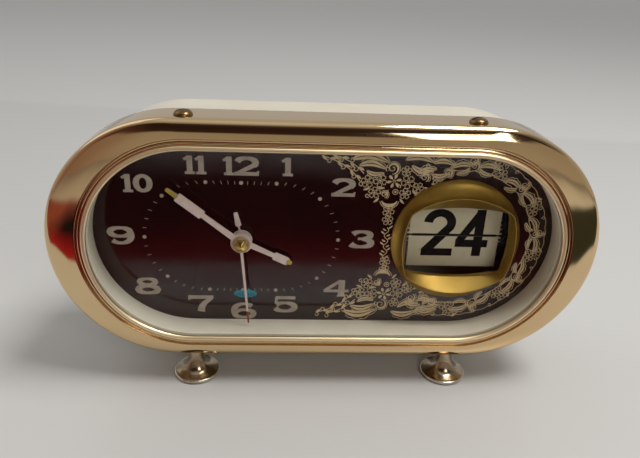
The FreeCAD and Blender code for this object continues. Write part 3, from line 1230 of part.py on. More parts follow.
def second_hand_cap():
    """Six-sided pointed cap on the seconds hand."""
    corners = [offset(HANDS, CAP_RADIUS, 60.0 * side) for side in range(6)]
    base = Part.makePolygon([at(x, SECOND_HAND_DEPTH, z) for x, z in corners + corners[:1]])
    brow = Part.makePolygon([
        at(HANDS_X + (x - HANDS_X) * 0.94, SECOND_HAND_DEPTH - CAP_BROW, HANDS_Z + (z - HANDS_Z) * 0.94)
        for x, z in corners + corners[:1]
    ])
    point = Part.makePolygon([
        at(HANDS_X + (x - HANDS_X) * 0.12, CAP_TIP_DEPTH, HANDS_Z + (z - HANDS_Z) * 0.12)
        for x, z in corners + corners[:1]
    ])
    cap = joined(Part.makeLoft([base, brow], True, True), Part.makeLoft([brow, point], True, True))
    return cap.cut(rod(*HANDS, SECONDS_ARBOR, CAP_TIP_DEPTH + CAP_WALL, SECOND_HAND_DEPTH))


# ---------------------------------------------------------------- calendar
def barrel_outline(half_width, half_height, corner_x, corner_z, depth):
    """A four-sided outline with bulging sides round the middle of the calendar."""
    def place(x, z):
        return at(DATE_X + x, depth, DATE_Z + z)

    top = Part.Arc(place(-corner_x, corner_z), place(0, half_height), place(corner_x, corner_z))
    right = Part.Arc(place(corner_x, corner_z), place(half_width, 0), place(corner_x, -corner_z))
    low = Part.Arc(place(corner_x, -corner_z), place(0, -half_height), place(-corner_x, -corner_z))
    left = Part.Arc(place(-corner_x, -corner_z), place(-half_width, 0), place(-corner_x, corner_z))
    return Part.Wire([side.toShape() for side in (top, right, low, left)])


def round_outline(radius, depth):
    """A circle in four arcs whose corners line up with the corners of the crest."""
    corner = math.atan2(CREST_CORNER_Z, CREST_CORNER_X)
    return barrel_outline(radius, radius, radius * math.cos(corner), radius * math.sin(corner), depth)


def crest_outline(inset, depth):
    """The crest line of the calendar frame, or the same line moved inwards."""
    return barrel_outline(CREST_HALF_WIDTH - inset, CREST_HALF_HEIGHT - inset, CREST_CORNER_X - inset,
                          CREST_CORNER_Z - inset, depth)


def blended_outline(share, depth):
    """An outline between the frame's foot circle and its crest."""
    corner = math.atan2(CREST_CORNER_Z, CREST_CORNER_X)

    def between(foot_size, crest_size):
        return foot_size + (crest_size - foot_size) * share

    return barrel_outline(
        between(FRAME_RADIUS, CREST_HALF_WIDTH), between(FRAME_RADIUS, CREST_HALF_HEIGHT),
        between(FRAME_RADIUS * math.cos(corner), CREST_CORNER_X),
        between(FRAME_RADIUS * math.sin(corner), CREST_CORNER_Z), depth)


def date_frame():
    """Brass frame of the calendar: a round dome that rises to a crest, with sloping reveals inside."""
    crest_depth = DIAL_FRONT - CREST_RISE
    floor_depth = crest_depth + REVEAL_DEPTH
    dome = Part.makeLoft([
        round_outline(FRAME_RADIUS, DIAL_FRONT),
        blended_outline(0.12, DIAL_FRONT - CREST_RISE * 0.45),
        blended_outline(0.45, DIAL_FRONT - CREST_RISE * 0.8),
        crest_outline(0.0, crest_depth),
    ], True, True)
    spigot = rod(DATE_X, DATE_Z, FRAME_RADIUS - FRAME_FLANGE - 0.1, DIAL_FRONT, DIAL_REAR)
    window = barrel_outline(WINDOW_HALF_WIDTH, WINDOW_HALF_HEIGHT, WINDOW_CORNER_X, WINDOW_CORNER_Z,
                            floor_depth)
    reveals = Part.makeLoft([crest_outline(CREST_LAND, crest_depth), window], True, True)
    sill = Part.Face(window).extrude(AXIAL * FRAME_SHEET)
    well = rod(DATE_X, DATE_Z, FRAME_RADIUS - FRAME_FLANGE - 0.8, floor_depth + FRAME_SHEET, DIAL_REAR)
    return joined(dome, spigot).cut(reveals).cut(sill).cut(well)


def side_plate(left, flange_side, bearing_depth):
    """Side plate of the calendar with a flange against the rear of the dial."""
    right = left + SIDE_PLATE_THICK
    web = block(left, right, DIAL_REAR, SIDE_PLATE_REAR, DATE_Z - SIDE_PLATE_HALF_HEIGHT,
                DATE_Z + SIDE_PLATE_HALF_HEIGHT)
    edge = left if flange_side < 0 else right
    start, end = sorted((edge, edge + flange_side * SIDE_FLANGE))
    flange = block(start, end, DIAL_REAR, DIAL_REAR + SIDE_FLANGE_THICK, DATE_Z - SIDE_FLANGE_HALF_HEIGHT,
                   DATE_Z + SIDE_FLANGE_HALF_HEIGHT)
    result = joined(web, flange)
    result = result.cut(cross_rod(bearing_depth, DATE_Z, DRUM_SHAFT_RADIUS + RUNNING_FIT, left, right))
    for depth, z in bar_places():
        result = result.cut(cross_rod(depth, z, BAR_RADIUS * 0.7, left, right))
    return result


def bar_places():
    """(depth, z) of the bars between the side plates."""
    rear = SIDE_PLATE_REAR - BAR_INSET
    front = DIAL_REAR + BAR_INSET
    reach = SIDE_PLATE_HALF_HEIGHT - BAR_INSET
    return [(depth, DATE_Z + sign * reach) for depth in (front, rear) for sign in (-1, 1)]


def date_plate_left():
    """Left side plate."""
    return side_plate(LEFT_PLATE_X, -1, DRUM_DEPTH)


def date_plate_right():
    """Right side plate with the lug that guides the push rod."""
    front = LUG_DEPTH - LUG_THICK
    left = RIGHT_PLATE_X - LUG_REACH
    lug = block(left, RIGHT_PLATE_X, front, LUG_DEPTH, PUSH_ROD_Z - LUG_HALF, PUSH_ROD_Z + LUG_HALF)
    lug = lug.cut(rod(PUSH_ROD_X, PUSH_ROD_Z, PUSH_ROD_RADIUS + RUNNING_FIT, front, LUG_DEPTH))
    return joined(side_plate(RIGHT_PLATE_X, 1, DRUM_DEPTH), lug)


def date_cross_bars():
    """Four bars that hold the side plates apart."""
    bars = []
    for depth, z in bar_places():
        middle = cross_rod(depth, z, BAR_RADIUS, LEFT_PLATE_X + SIDE_PLATE_THICK, RIGHT_PLATE_X)
        left, right = LEFT_PLATE_X - BAR_END, RIGHT_PLATE_X + SIDE_PLATE_THICK + BAR_END
        ends = cross_rod(depth, z, BAR_RADIUS * 0.7, left, right)
        bars.append(joined(middle, ends))
    return Part.makeCompound(bars)


def leaf_catch():
    """Spring strip that hangs from the upper front bar and holds back the standing leaf."""
    depth, z = bar_places()[1]
    tip = hinge_place(0)[1] + LEAF_LENGTH - LEAF_TAIL + 0.1
    face = hinge_place(0)[0] - LEAF_THICK / 2.0 - 0.25
    clamp = block(DRUM_X - CATCH_WIDTH / 2.0, DRUM_X + CATCH_WIDTH / 2.0, depth + BAR_RADIUS,
                  depth + BAR_RADIUS + CATCH_THICK, tip, z + 1.0)
    nose = block(DRUM_X - CATCH_WIDTH / 2.0, DRUM_X + CATCH_WIDTH / 2.0, face - CATCH_THICK,
                 depth + BAR_RADIUS + CATCH_THICK, tip, tip + CATCH_THICK)
    return joined(clamp, nose)


def hinge_angle(day):
    """Angle of a leaf's hinge round the drum, from the front over the top."""
    return (day + 0.5) * DAY_STEP


def hinge_place(day):
    """(depth, z) of a leaf's hinge."""
    angle = math.radians(hinge_angle(day))
    return DRUM_DEPTH - LEAF_PITCH_RADIUS * math.cos(angle), DATE_Z + LEAF_PITCH_RADIUS * math.sin(angle)


def leaf_lean(day):
    """Angle that a leaf points in: the first stands, the last hangs, and those between fan out."""
    if day == 0:
        return 90.0
    if day == DAYS - 1:
        return 270.0
    return 90.0 + DAY_STEP + (180.0 - 2.0 * DAY_STEP) * (day - 1.0) / (DAYS - 3.0)


def leaf(day):
    """One date leaf with a tab at each end of its hinge line."""
    body_far = LEAF_LENGTH - LEAF_TAIL
    edge = LEAF_HALF_WIDTH
    tab = LEAF_HALF_WIDTH + LEAF_TAB
    corners = [
        (-edge, -LEAF_TAIL), (edge, -LEAF_TAIL), (edge, -LEAF_TAB_HALF), (tab, -LEAF_TAB_HALF),
        (tab, LEAF_TAB_HALF), (edge, LEAF_TAB_HALF), (edge, body_far), (-edge, body_far),
        (-edge, LEAF_TAB_HALF), (-tab, LEAF_TAB_HALF), (-tab, -LEAF_TAB_HALF), (-edge, -LEAF_TAB_HALF),
    ]
    depth, z = hinge_place(day)
    face = depth - LEAF_THICK / 2.0
    upright = [at(DRUM_X + x, face, z + s) for x, s in corners]
    solid = Part.Face(Part.makePolygon(upright + upright[:1])).extrude(AXIAL * LEAF_THICK)
    solid.rotate(at(DRUM_X, depth, z), SIDEWAYS, 90.0 - leaf_lean(day))
    return solid


def date_leaves():
    """All leaves except the two that show a half of the date."""
    return Part.makeCompound([leaf(day) for day in range(1, DAYS - 1)])


def date_leaf_upper():
    """The standing leaf that shows the upper half of the date."""
    return leaf(0)


def date_leaf_lower():
    """The hanging leaf that shows the lower half of the date."""
    return leaf(DAYS - 1)


def notched_disc(left):
    """End disc of the drum with a notch for the tab of each leaf."""
    corners = []
    half = math.degrees(math.asin(NOTCH_HALF / LEAF_PITCH_RADIUS))
    for day in range(DAYS):
        middle = hinge_angle(day)
        for radius, shift in ((DRUM_DISC_RADIUS, -half), (NOTCH_FLOOR, -half), (NOTCH_FLOOR, half),
                              (DRUM_DISC_RADIUS, half)):
            angle = math.radians(middle + shift)
            depth = DRUM_DEPTH - radius * math.cos(angle)
            corners.append(at(left, depth, DATE_Z + radius * math.sin(angle)))
    return Part.Face(Part.makePolygon(corners + corners[:1])).extrude(SIDEWAYS * DRUM_DISC_THICK)


def date_drum():
    """Drum that carries the leaves: two notched discs on a hollow core."""
    left_disc = notched_disc(DRUM_LEFT - DRUM_DISC_THICK)
    right_disc = notched_disc(DRUM_RIGHT)
    core = cross_rod(DRUM_DEPTH, DATE_Z, DRUM_CORE_RADIUS, DRUM_LEFT, DRUM_RIGHT)
    hollow = cross_rod(DRUM_DEPTH, DATE_Z, DRUM_CORE_RADIUS - DRUM_CORE_WALL, DRUM_LEFT, DRUM_RIGHT)
    shaft = cross_rod(DRUM_DEPTH, DATE_Z, DRUM_SHAFT_RADIUS, DRUM_LEFT - 2.0, DRUM_RIGHT + 2.0)
    return joined(left_disc, right_disc, core.cut(hollow)).cut(shaft)


def date_shaft():
    """Shaft of the drum with a collar at each side plate."""
    shaft = cross_rod(DRUM_DEPTH, DATE_Z, DRUM_SHAFT_RADIUS, LEFT_PLATE_X - BAR_END,
                      RIGHT_PLATE_X + SIDE_PLATE_THICK + BAR_END)
    collar = DRUM_SHAFT_RADIUS + 1.0
    inside = LEFT_PLATE_X + SIDE_PLATE_THICK + 0.1
    left_collar = cross_rod(DRUM_DEPTH, DATE_Z, collar, inside, DRUM_LEFT - DRUM_DISC_THICK)
    right_collar = cross_rod(DRUM_DEPTH, DATE_Z, collar, RATCHET_LEFT + RATCHET_THICK, RIGHT_PLATE_X - 0.1)
    return joined(shaft, left_collar, right_collar)


def date_ratchet():
    """Saw-toothed wheel on the drum's shaft, one tooth for each day."""
    corners = []
    for day in range(DAYS):
        steep = 90.0 + hinge_angle(day)
        for radius, shift in ((RATCHET_RADIUS, 0.0), (RATCHET_ROOT, 0.6)):
            angle = math.radians(steep + shift)
            depth = DRUM_DEPTH - radius * math.cos(angle)
            corners.append(at(RATCHET_LEFT, depth, DATE_Z + radius * math.sin(angle)))
    wheel = Part.Face(Part.makePolygon(corners + corners[:1])).extrude(SIDEWAYS * RATCHET_THICK)
    inside = DRUM_RIGHT + DRUM_DISC_THICK
    spacer = cross_rod(DRUM_DEPTH, DATE_Z, DRUM_SHAFT_RADIUS + 1.0, inside, RATCHET_LEFT)
    bore = cross_rod(DRUM_DEPTH, DATE_Z, DRUM_SHAFT_RADIUS, DRUM_RIGHT, RIGHT_PLATE_X)
    return joined(wheel, spacer).cut(bore)


def date_push_rod():
    """Push rod with a nib behind a ratchet tooth, a collar for its spring and a button at the rear."""
    steep = math.radians(90.0 + DAY_STEP / 2.0)
    tooth_depth = DRUM_DEPTH - RATCHET_RADIUS * math.cos(steep)
    nib_front = tooth_depth + 0.12
    stem = rod(PUSH_ROD_X, PUSH_ROD_Z, PUSH_ROD_RADIUS, nib_front, CAP_FRONT + 0.5)
    nib = block(RATCHET_LEFT, RATCHET_LEFT + RATCHET_THICK, nib_front, nib_front + 0.5,
                DATE_Z + RATCHET_ROOT + 0.4, PUSH_ROD_Z)
    cap = turned_axial(PUSH_ROD_X, PUSH_ROD_Z, [
        (0.0, CAP_FRONT), (PUSH_CAP_RADIUS, CAP_FRONT), (PUSH_CAP_RADIUS, CAP_FRONT + PUSH_CAP_LENGTH * 0.7),
        (PUSH_CAP_RADIUS * 0.8, CAP_FRONT + PUSH_CAP_LENGTH * 0.95), (0.0, CAP_FRONT + PUSH_CAP_LENGTH),
    ])
    rim = PUSH_ROD_RADIUS + COLLAR_RIM
    collar = rod(PUSH_ROD_X, PUSH_ROD_Z, rim, COLLAR_DEPTH, COLLAR_DEPTH + COLLAR_THICK)
    return joined(stem, nib, cap, collar)


def date_return_spring():
    """Bent strip between the guide lug and the collar that pushes the rod back."""
    z = PUSH_ROD_Z + PUSH_ROD_RADIUS + STRIP_GAP
    front, rear = LUG_DEPTH, COLLAR_DEPTH
    middle = (front + rear) / 2.0
    crown = STRIP_THICK * 0.5
    outline = [
        (front, z), (front + STRIP_THICK, z), (middle, z + STRIP_RISE - STRIP_THICK), (rear - STRIP_THICK, z),
        (rear, z), (middle + crown, z + STRIP_RISE), (middle - crown, z + STRIP_RISE),
    ]
    corners = [at(PUSH_ROD_X - STRIP_HALF, depth, height) for depth, height in outline]
    return Part.Face(Part.makePolygon(corners + corners[:1])).extrude(SIDEWAYS * 2.0 * STRIP_HALF)


# ---------------------------------------------------------------- the whole clock
def cock_with_seat():
    """The cock and the seat of the regulator, one piece."""
    return joined(balance_cock(), regulator_seat())


PARTS = {
    "case_shell": case_shell,
    "bezel": bezel,
    "crystal_ring": crystal_ring,
    "crystal": crystal,
    "dial_surround": dial_surround,
    "dial_plate": dial_plate,
    "back_cover": back_cover,
    "back_cover_screws": back_cover_screws,
    "bezel_screws": bezel_screws,
    "front_feet": front_feet,
    "rear_feet": rear_feet,
    "date_frame": date_frame,
    "movement_front_plate": movement_front_plate,
    "movement_rear_plate": movement_rear_plate,
    "movement_pillars": movement_pillars,
    "movement_nuts": movement_nuts,
    "balance_cock": cock_with_seat,
    "seconds_arbor": seconds_arbor,
    "second_hand": second_hand,
    "second_hand_cap": second_hand_cap,
    "centre_wheel": centre_wheel,
    "third_wheel": third_wheel,
    "escape_wheel": escape_wheel,
    "pallet_lever": pallet_lever,
    "balance_wheel": balance_wheel,
    "balance_spring": balance_spring,
    "regulator_lever": regulator_lever,
    "centre_arbor": centre_arbor,
    "minute_hand": minute_hand,
    "minute_wheel": minute_wheel,
    "hour_wheel": hour_wheel,
    "hour_hand": hour_hand,
    "alarm_wheel": alarm_wheel,
    "alarm_hand": alarm_hand,
    "time_barrel": time_barrel,
    "alarm_barrel": alarm_barrel,
    "time_winding_arbor": lambda: winding_arbor(BARREL),
    "time_winding_key": lambda: winding_key(BARREL),
    "alarm_winding_arbor": lambda: winding_arbor(ALARM_BARREL),
    "alarm_winding_key": lambda: winding_key(ALARM_BARREL),
    "time_set_arbor": time_set_arbor,
    "time_set_knob": lambda: knob(TIME_SET),
    "alarm_set_arbor": alarm_set_arbor,
    "alarm_set_knob": lambda: knob(ALARM_SET),
    "alarm_stop_button": alarm_stop_button,
    "alarm_bell": alarm_bell,
    "alarm_hammer": alarm_hammer,
    "date_plate_left": date_plate_left,
    "date_plate_right": date_plate_right,
    "date_cross_bars": date_cross_bars,
    "leaf_catch": leaf_catch,
    "date_drum": date_drum,
    "date_shaft": date_shaft,
    "date_ratchet": date_ratchet,
    "date_leaves": date_leaves,
    "date_leaf_upper": date_leaf_upper,
    "date_leaf_lower": date_leaf_lower,
    "date_push_rod": date_push_rod,
    "date_return_spring": date_return_spring,
}


def main():
    """Write one STEP file for each piece."""
    os.makedirs("parts", exist_ok=True)
    for name, make in PARTS.items():
        shape = make()
        shape.exportStep("parts/" + name + ".step")
        print(f"{name}: {len(shape.Solids)} solid(s), {shape.Volume:.1f} mm3, valid {shape.isValid()}")


main()
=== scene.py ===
"""Looks of a wind-up desk clock: racetrack-shaped case, dark printed dial, four hands and a flip calendar.

Everything is in metres in the frame of the CAD part. Sizes in the classes are millimetres, and a place on
the clock is given by its distance across, its depth behind the crystal ring's front and its height from the
middle of the bezel, as a clockmaker would measure it on the bench.
"""

import logging
import math
import random
from collections.abc import Callable, Iterable, Iterator, Sequence
from contextlib import contextmanager
from dataclasses import dataclass, field
from enum import Enum

import bmesh
import bpy
from mathutils import Matrix, Vector


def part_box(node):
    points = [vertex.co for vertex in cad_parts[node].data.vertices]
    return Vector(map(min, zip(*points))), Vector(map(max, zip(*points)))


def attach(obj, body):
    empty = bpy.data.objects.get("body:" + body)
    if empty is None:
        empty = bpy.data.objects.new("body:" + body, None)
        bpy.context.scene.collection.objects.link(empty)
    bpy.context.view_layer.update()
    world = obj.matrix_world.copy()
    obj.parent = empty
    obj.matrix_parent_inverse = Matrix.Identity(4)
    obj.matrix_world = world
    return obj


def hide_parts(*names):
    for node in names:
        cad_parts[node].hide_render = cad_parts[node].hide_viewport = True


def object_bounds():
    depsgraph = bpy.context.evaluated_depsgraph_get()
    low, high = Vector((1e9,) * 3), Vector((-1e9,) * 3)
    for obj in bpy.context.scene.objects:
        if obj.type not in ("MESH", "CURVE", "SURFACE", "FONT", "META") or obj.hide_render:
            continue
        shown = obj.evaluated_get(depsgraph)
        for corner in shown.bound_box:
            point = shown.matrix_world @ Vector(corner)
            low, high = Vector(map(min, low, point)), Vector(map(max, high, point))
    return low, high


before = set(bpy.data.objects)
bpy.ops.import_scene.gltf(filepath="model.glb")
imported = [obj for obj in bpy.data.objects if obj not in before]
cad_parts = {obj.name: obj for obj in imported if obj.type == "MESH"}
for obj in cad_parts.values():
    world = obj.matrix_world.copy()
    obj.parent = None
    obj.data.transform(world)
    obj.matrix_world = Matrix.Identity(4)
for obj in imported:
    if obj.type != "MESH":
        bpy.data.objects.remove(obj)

LOG = logging.getLogger("desk_clock")
MM = 0.001
AROUND = 192  # corners of a full turn on the large racetracks
TURNED = 64  # corners of a full turn on feet, screws and buttons
SHARP = 35.0  # edges sharper than this stay sharp, in degrees
PRINT_LIFT = 0.02  # how far a print stands proud of its face, in millimetres
SHARE, FROM, TO, MIXED = 0, 6, 7, 2  # sockets of a node that mixes colours
Triple = tuple[float, float, float]
CAD_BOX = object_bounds()


# ------------------------------------------------------------------ places and colours
@dataclass(frozen=True)
class Face:
    """The clock's own measuring frame, read from the CAD part.

    Attributes:
        front: y of the crystal ring's front, in metres.
        middle: height of the middle of the bezel above the table, in metres.
    """

    front: float
    middle: float

    def place(self, x: float, depth: float, z: float) -> Vector:
        """Returns the point in metres for a place given in millimetres."""
        return Vector((x * MM, self.front + depth * MM, self.middle + z * MM))


def measured_face() -> Face:
    """Reads the clock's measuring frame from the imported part.

    Returns:
        Its crystal ring's front and the middle of its bezel.
    """
    ring_low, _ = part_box("crystal_ring")
    bezel_low, bezel_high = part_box("bezel")
    return Face(front=ring_low.y, middle=(bezel_low.z + bezel_high.z) / 2.0)


FACE = measured_face()


def linear(code: str) -> tuple[float, float, float, float]:
    """Turns an sRGB hex value into linear colour.

    Args:
        code: six hex digits, with or without a leading #.

    Returns:
        Red, green, blue and alpha of 1.
    """
    digits = code.lstrip("#")
    channels = [int(digits[place:place + 2], 16) / 255.0 for place in (0, 2, 4)]
    values = [c / 12.92 if c <= 0.04045 else ((c + 0.055) / 1.055) ** 2.4 for c in channels]
    return values[0], values[1], values[2], 1.0


# ------------------------------------------------------------------ finishes
def add_node(tree: bpy.types.NodeTree, kind: str, inputs: dict | None = None,
             **settings: object) -> bpy.types.Node:
    """Adds a shader node.

    Args:
        tree: the material's or the world's node tree.
        kind: the node's type name.
        inputs: values for its sockets, or outputs of other nodes to link to them.
        settings: the node's own options.

    Returns:
        The new node.
    """
    made = tree.nodes.new(kind)
    for name, value in settings.items():
        setattr(made, name, value)
    for socket, value in (inputs or {}).items():
        if isinstance(value, bpy.types.NodeSocket):
            tree.links.new(value, made.inputs[socket])
        else:
            made.inputs[socket].default_value = value
    return made


def started_material(name: str, uniform: dict[str, float]) -> tuple[bpy.types.Material, bpy.types.NodeSocket]:
    """Starts a material from its shader.

    Args:
        name: the material's name.
        uniform: the shader's values that are the same all over.

    Returns:
        The material and its Object coordinates.
    """
    made = bpy.data.materials.new(name)
    made.use_nodes = True
    for socket, value in uniform.items():
        made.node_tree.nodes["Principled BSDF"].inputs[socket].default_value = value
    return made, add_node(made.node_tree, "ShaderNodeTexCoord").outputs["Object"]


@dataclass(frozen=True)
class Finish:
    """A surface as a maker would order it.

    Attributes:
        name: the material's name.
        colour: its main colour, an sRGB hex value.
        shade: the colour that it drifts to, in patches.
        patch: size of those patches, in millimetres.
        roughness: least and greatest roughness.
        metallic: 1 for bare metal.
        grain: size of the fine texture, in millimetres.
        relief: height of the fine texture, in millimetres.
        stretch: how many times longer the grain is across the clock.
        alpha: 1 for a solid surface.
        specular: specular level of what isn't metal.
    """

    name: str
    colour: str
    shade: str
    patch: float
    roughness: tuple[float, float]
    metallic: float = 0.0
    grain: float = 0.2
    relief: float = 0.002
    stretch: float = 1.0
    alpha: float = 1.0
    specular: float = 0.5

    def material(self) -> bpy.types.Material:
        """Makes the finish's material, once.

        Returns:
            The material.
        """
        known = bpy.data.materials.get(self.name)
        if known:
            return known
        uniform = {"Metallic": self.metallic, "Alpha": self.alpha}
        if self.metallic < 1.0:
            uniform["Specular IOR Level"] = self.specular
        made, where = started_material(self.name, uniform)
        tree = made.node_tree
        flow = (1.0 / (MM * self.stretch), 1.0 / MM, 1.0 / MM)
        laid = add_node(tree, "ShaderNodeMapping", {"Vector": where, "Scale": flow}).outputs["Vector"]
        patches, fine = (
            add_node(tree, "ShaderNodeTexNoise", {
                "Vector": laid, "Scale": 1.0 / size, "Detail": detail,
            }).outputs["Fac"]
            for size, detail in ((self.patch, 3.0), (self.grain, 2.0))
        )
        drift = add_node(tree, "ShaderNodeMapRange", {"Value": patches, "From Min": 0.35, "From Max": 0.65})
        colour = add_node(tree, "ShaderNodeMix", data_type="RGBA", inputs={
            SHARE: drift.outputs[0], FROM: linear(self.colour), TO: linear(self.shade),
        })
        rough = add_node(tree, "ShaderNodeMapRange", {
            "Value": patches, "From Min": 0.3, "From Max": 0.7,
            "To Min": self.roughness[0], "To Max": self.roughness[1],
        })
        bump = add_node(tree, "ShaderNodeBump", {
            "Height": fine, "Distance": self.relief * MM, "Strength": 1.0,
        })
        sockets = tree.nodes["Principled BSDF"].inputs
        for source, socket in ((colour.outputs[MIXED], "Base Color"), (rough.outputs[0], "Roughness"),
                               (bump.outputs["Normal"], "Normal")):
            tree.links.new(source, sockets[socket])
        return made


# Pressed brass, polished and lacquered: a champagne mirror with faint polishing lines along the sweep.
BEZEL_BRASS = Finish("lacquered_bezel_brass", "#E2C79C", "#D9BA8C", patch=40.0, roughness=(0.06, 0.12),
                     metallic=1.0, grain=0.8, relief=0.001, stretch=6.0)
# The ring beside the crystal is drawn wire, paler and more satin than the bezel.
RING_BRASS = Finish("bright_ring_brass", "#FBEAC6", "#F3DDB0", patch=30.0, roughness=(0.34, 0.42),
                    metallic=1.0, grain=0.6, relief=0.0008)
# Spun yellow brass of the calendar frame, brushed to a soft sheen.
FRAME_BRASS = Finish("spun_frame_brass", "#C2A355", "#AF8E46", patch=14.0, roughness=(0.34, 0.42),
                     metallic=1.0, grain=0.5, relief=0.0015)
# Moulded urea: warm cream with a soft gloss and a slow drift of tone.
CREAM_PLASTIC = Finish("moulded_cream_plastic", "#D4CEBC", "#CBC3AE", patch=30.0, roughness=(0.28, 0.38),
                       grain=0.35, relief=0.004)
SURROUND_PLASTIC = Finish("moulded_surround_plastic", "#E8E4D2", "#DCD7C4", patch=18.0,
                          roughness=(0.35, 0.48), grain=0.3, relief=0.004)
# Stoved lacquer on the dial: almost black, with a maroon undertone and a faint orange peel.
DIAL_LACQUER = Finish("stoved_dial_lacquer", "#220809", "#2B0B0D", patch=22.0, roughness=(0.1, 0.13),
                      grain=2.5, relief=0.0002, specular=0.55)
# Screen-printed inks on the dial: matt, and thin at the edges.
NUMERAL_INK = Finish("numeral_ink", "#B0A597", "#A09587", patch=3.0, roughness=(0.55, 0.7), grain=0.15)
LACE_INK = Finish("lace_ink", "#D8C39C", "#C6B18A", patch=4.0, roughness=(0.5, 0.65), grain=0.15)
TEAL_INK = Finish("teal_ink", "#2C9DB5", "#2389A0", patch=2.0, roughness=(0.5, 0.6))
# Enamelled hands, off-white with a pinkish tone, and luminous paint that has yellowed.
HAND_ENAMEL = Finish("hand_enamel", "#E3D2CB", "#D8C4BC", patch=3.0, roughness=(0.3, 0.4))
LUME_PAINT = Finish("yellowed_luminous_paint", "#B9A23F", "#A08A35", patch=1.2, roughness=(0.6, 0.75),
                    grain=0.25, relief=0.02)
RED_ENAMEL = Finish("red_hand_enamel", "#8E1F1C", "#7C1816", patch=2.0, roughness=(0.35, 0.45))
# Turned brass round the hands' axis: a bright cap on a paler boss.
CAP_BRASS = Finish("faceted_cap_brass", "#CDB268", "#AE9450", patch=1.5, roughness=(0.16, 0.26), metallic=1.0,
                   relief=0.001)
BOSS_BRASS = Finish("pale_boss_brass", "#CDBE96", "#BBA97E", patch=1.5, roughness=(0.3, 0.4), metallic=1.0)
# Printed leaves of the calendar: matt card-like plastic and dense black ink.
LEAF_CARD = Finish("calendar_leaf", "#D4CDB2", "#C9C1A3", patch=9.0, roughness=(0.5, 0.6), relief=0.003)
LEAF_INK = Finish("calendar_ink", "#0B0809", "#120D0E", patch=3.0, roughness=(0.6, 0.7), specular=0.2)
# Feet and top screws: turned brass, nickelled dark. The feet's lowest faces are paler: a painted highlight of
# the bright table that their rims mirror.
FOOT_NICKEL = Finish("nickelled_foot", "#B5A58E", "#94836C", patch=5.0, roughness=(0.12, 0.24), metallic=1.0,
                     grain=0.25)
FOOT_RIM_HIGHLIGHT = Finish("foot_rim_painted_highlight", "#DDD5C8", "#C4B9A8", patch=3.0, roughness=(0.18, 0.3), metallic=1.0,
                  relief=0.003)
SCREW_BRASS = Finish("dark_screw_brass", "#8A7048", "#6C5636", patch=2.0, roughness=(0.2, 0.34), metallic=1.0,
                     relief=0.003)
# Rear of the clock: sprayed enamel on the cover, cast keys and turned knobs.
COVER_ENAMEL = Finish("cover_enamel", "#CDC4AC", "#C2B89E", patch=26.0, roughness=(0.38, 0.5), grain=0.5,
                      relief=0.01)
KEY_BRASS = Finish("cast_key_brass", "#C9A45C", "#B18C48", patch=5.0, roughness=(0.2, 0.34), metallic=1.0,
                   grain=0.3, relief=0.004)
KNOB_BRASS = Finish("turned_knob_brass", "#CDAA66", "#B8934F", patch=4.0, roughness=(0.18, 0.3), metallic=1.0,
                    relief=0.003)
# Inside: satin brass plates and wheels, steel arbors, dark moulded drum.
PLATE_BRASS = Finish("satin_plate_brass", "#BE9A50", "#AD8841", patch=12.0, roughness=(0.28, 0.4),
                     metallic=1.0, grain=0.3, relief=0.004, stretch=8.0)
ARBOR_STEEL = Finish("ground_arbor_steel", "#9B9C9F", "#85868A", patch=5.0, roughness=(0.22, 0.34),
                     metallic=1.0)
BELL_STEEL = Finish("nickelled_bell_steel", "#A9A8A4", "#8F8E8A", patch=10.0, roughness=(0.16, 0.28),
                    metallic=1.0, grain=0.3)
DRUM_PLASTIC = Finish("moulded_drum_plastic", "#2B2A2A", "#363433", patch=6.0, roughness=(0.4, 0.55),
                      grain=0.3, relief=0.006)
# Flat crystal: nearly clear, each face adds a trace of mirror.
CRYSTAL_GLASS = Finish("clear_crystal", "#FFFFFF", "#F6FAF9", patch=60.0, roughness=(0.0, 0.01), metallic=1.0,
                       grain=8.0, relief=0.0, alpha=0.006)

CAD_FINISHES: dict[Finish, tuple[str, ...]] = {
    DIAL_LACQUER: ("dial_plate",), COVER_ENAMEL: ("back_cover",), BELL_STEEL: ("alarm_bell",),
    DRUM_PLASTIC: ("date_drum", "date_ratchet"),
    LEAF_CARD: ("date_leaves", "date_leaf_upper", "date_leaf_lower"),
    PLATE_BRASS: (
        "movement_front_plate", "movement_rear_plate", "movement_pillars", "balance_cock", "centre_wheel",
        "third_wheel", "escape_wheel", "balance_wheel", "centre_arbor", "minute_wheel", "hour_wheel",
        "alarm_wheel", "time_barrel", "alarm_barrel",
    ),
    ARBOR_STEEL: (
        "back_cover_screws", "movement_nuts", "seconds_arbor", "pallet_lever", "balance_spring",
        "regulator_lever", "time_winding_arbor", "alarm_winding_arbor", "time_set_arbor", "alarm_set_arbor",
        "alarm_hammer", "date_plate_left", "date_plate_right", "date_cross_bars", "leaf_catch", "date_shaft",
        "date_return_spring",
    ),
}


# ------------------------------------------------------------------ modelling helpers
def deselect() -> None:
    """Leaves nothing selected, in object mode."""
    if bpy.context.object and bpy.context.object.mode != "OBJECT":
        bpy.ops.object.mode_set(mode="OBJECT")
    bpy.ops.object.select_all(action="DESELECT")


def activate(obj: bpy.types.Object) -> bpy.types.Object:
    """Makes one object the only selected and active one.

    Args:
        obj: the object.

    Returns:
        The same object.
    """
    deselect()
    obj.select_set(True)
    bpy.context.view_layer.objects.active = obj
    return obj


def add_object(name: str, data: bpy.types.ID) -> bpy.types.Object:
    """Adds an object to the scene.

    Args:
        name: its name.
        data: its mesh, curve, camera or light.

    Returns:
        The new object.
    """
    obj = bpy.data.objects.new(name, data)
    bpy.context.scene.collection.objects.link(obj)
    return obj


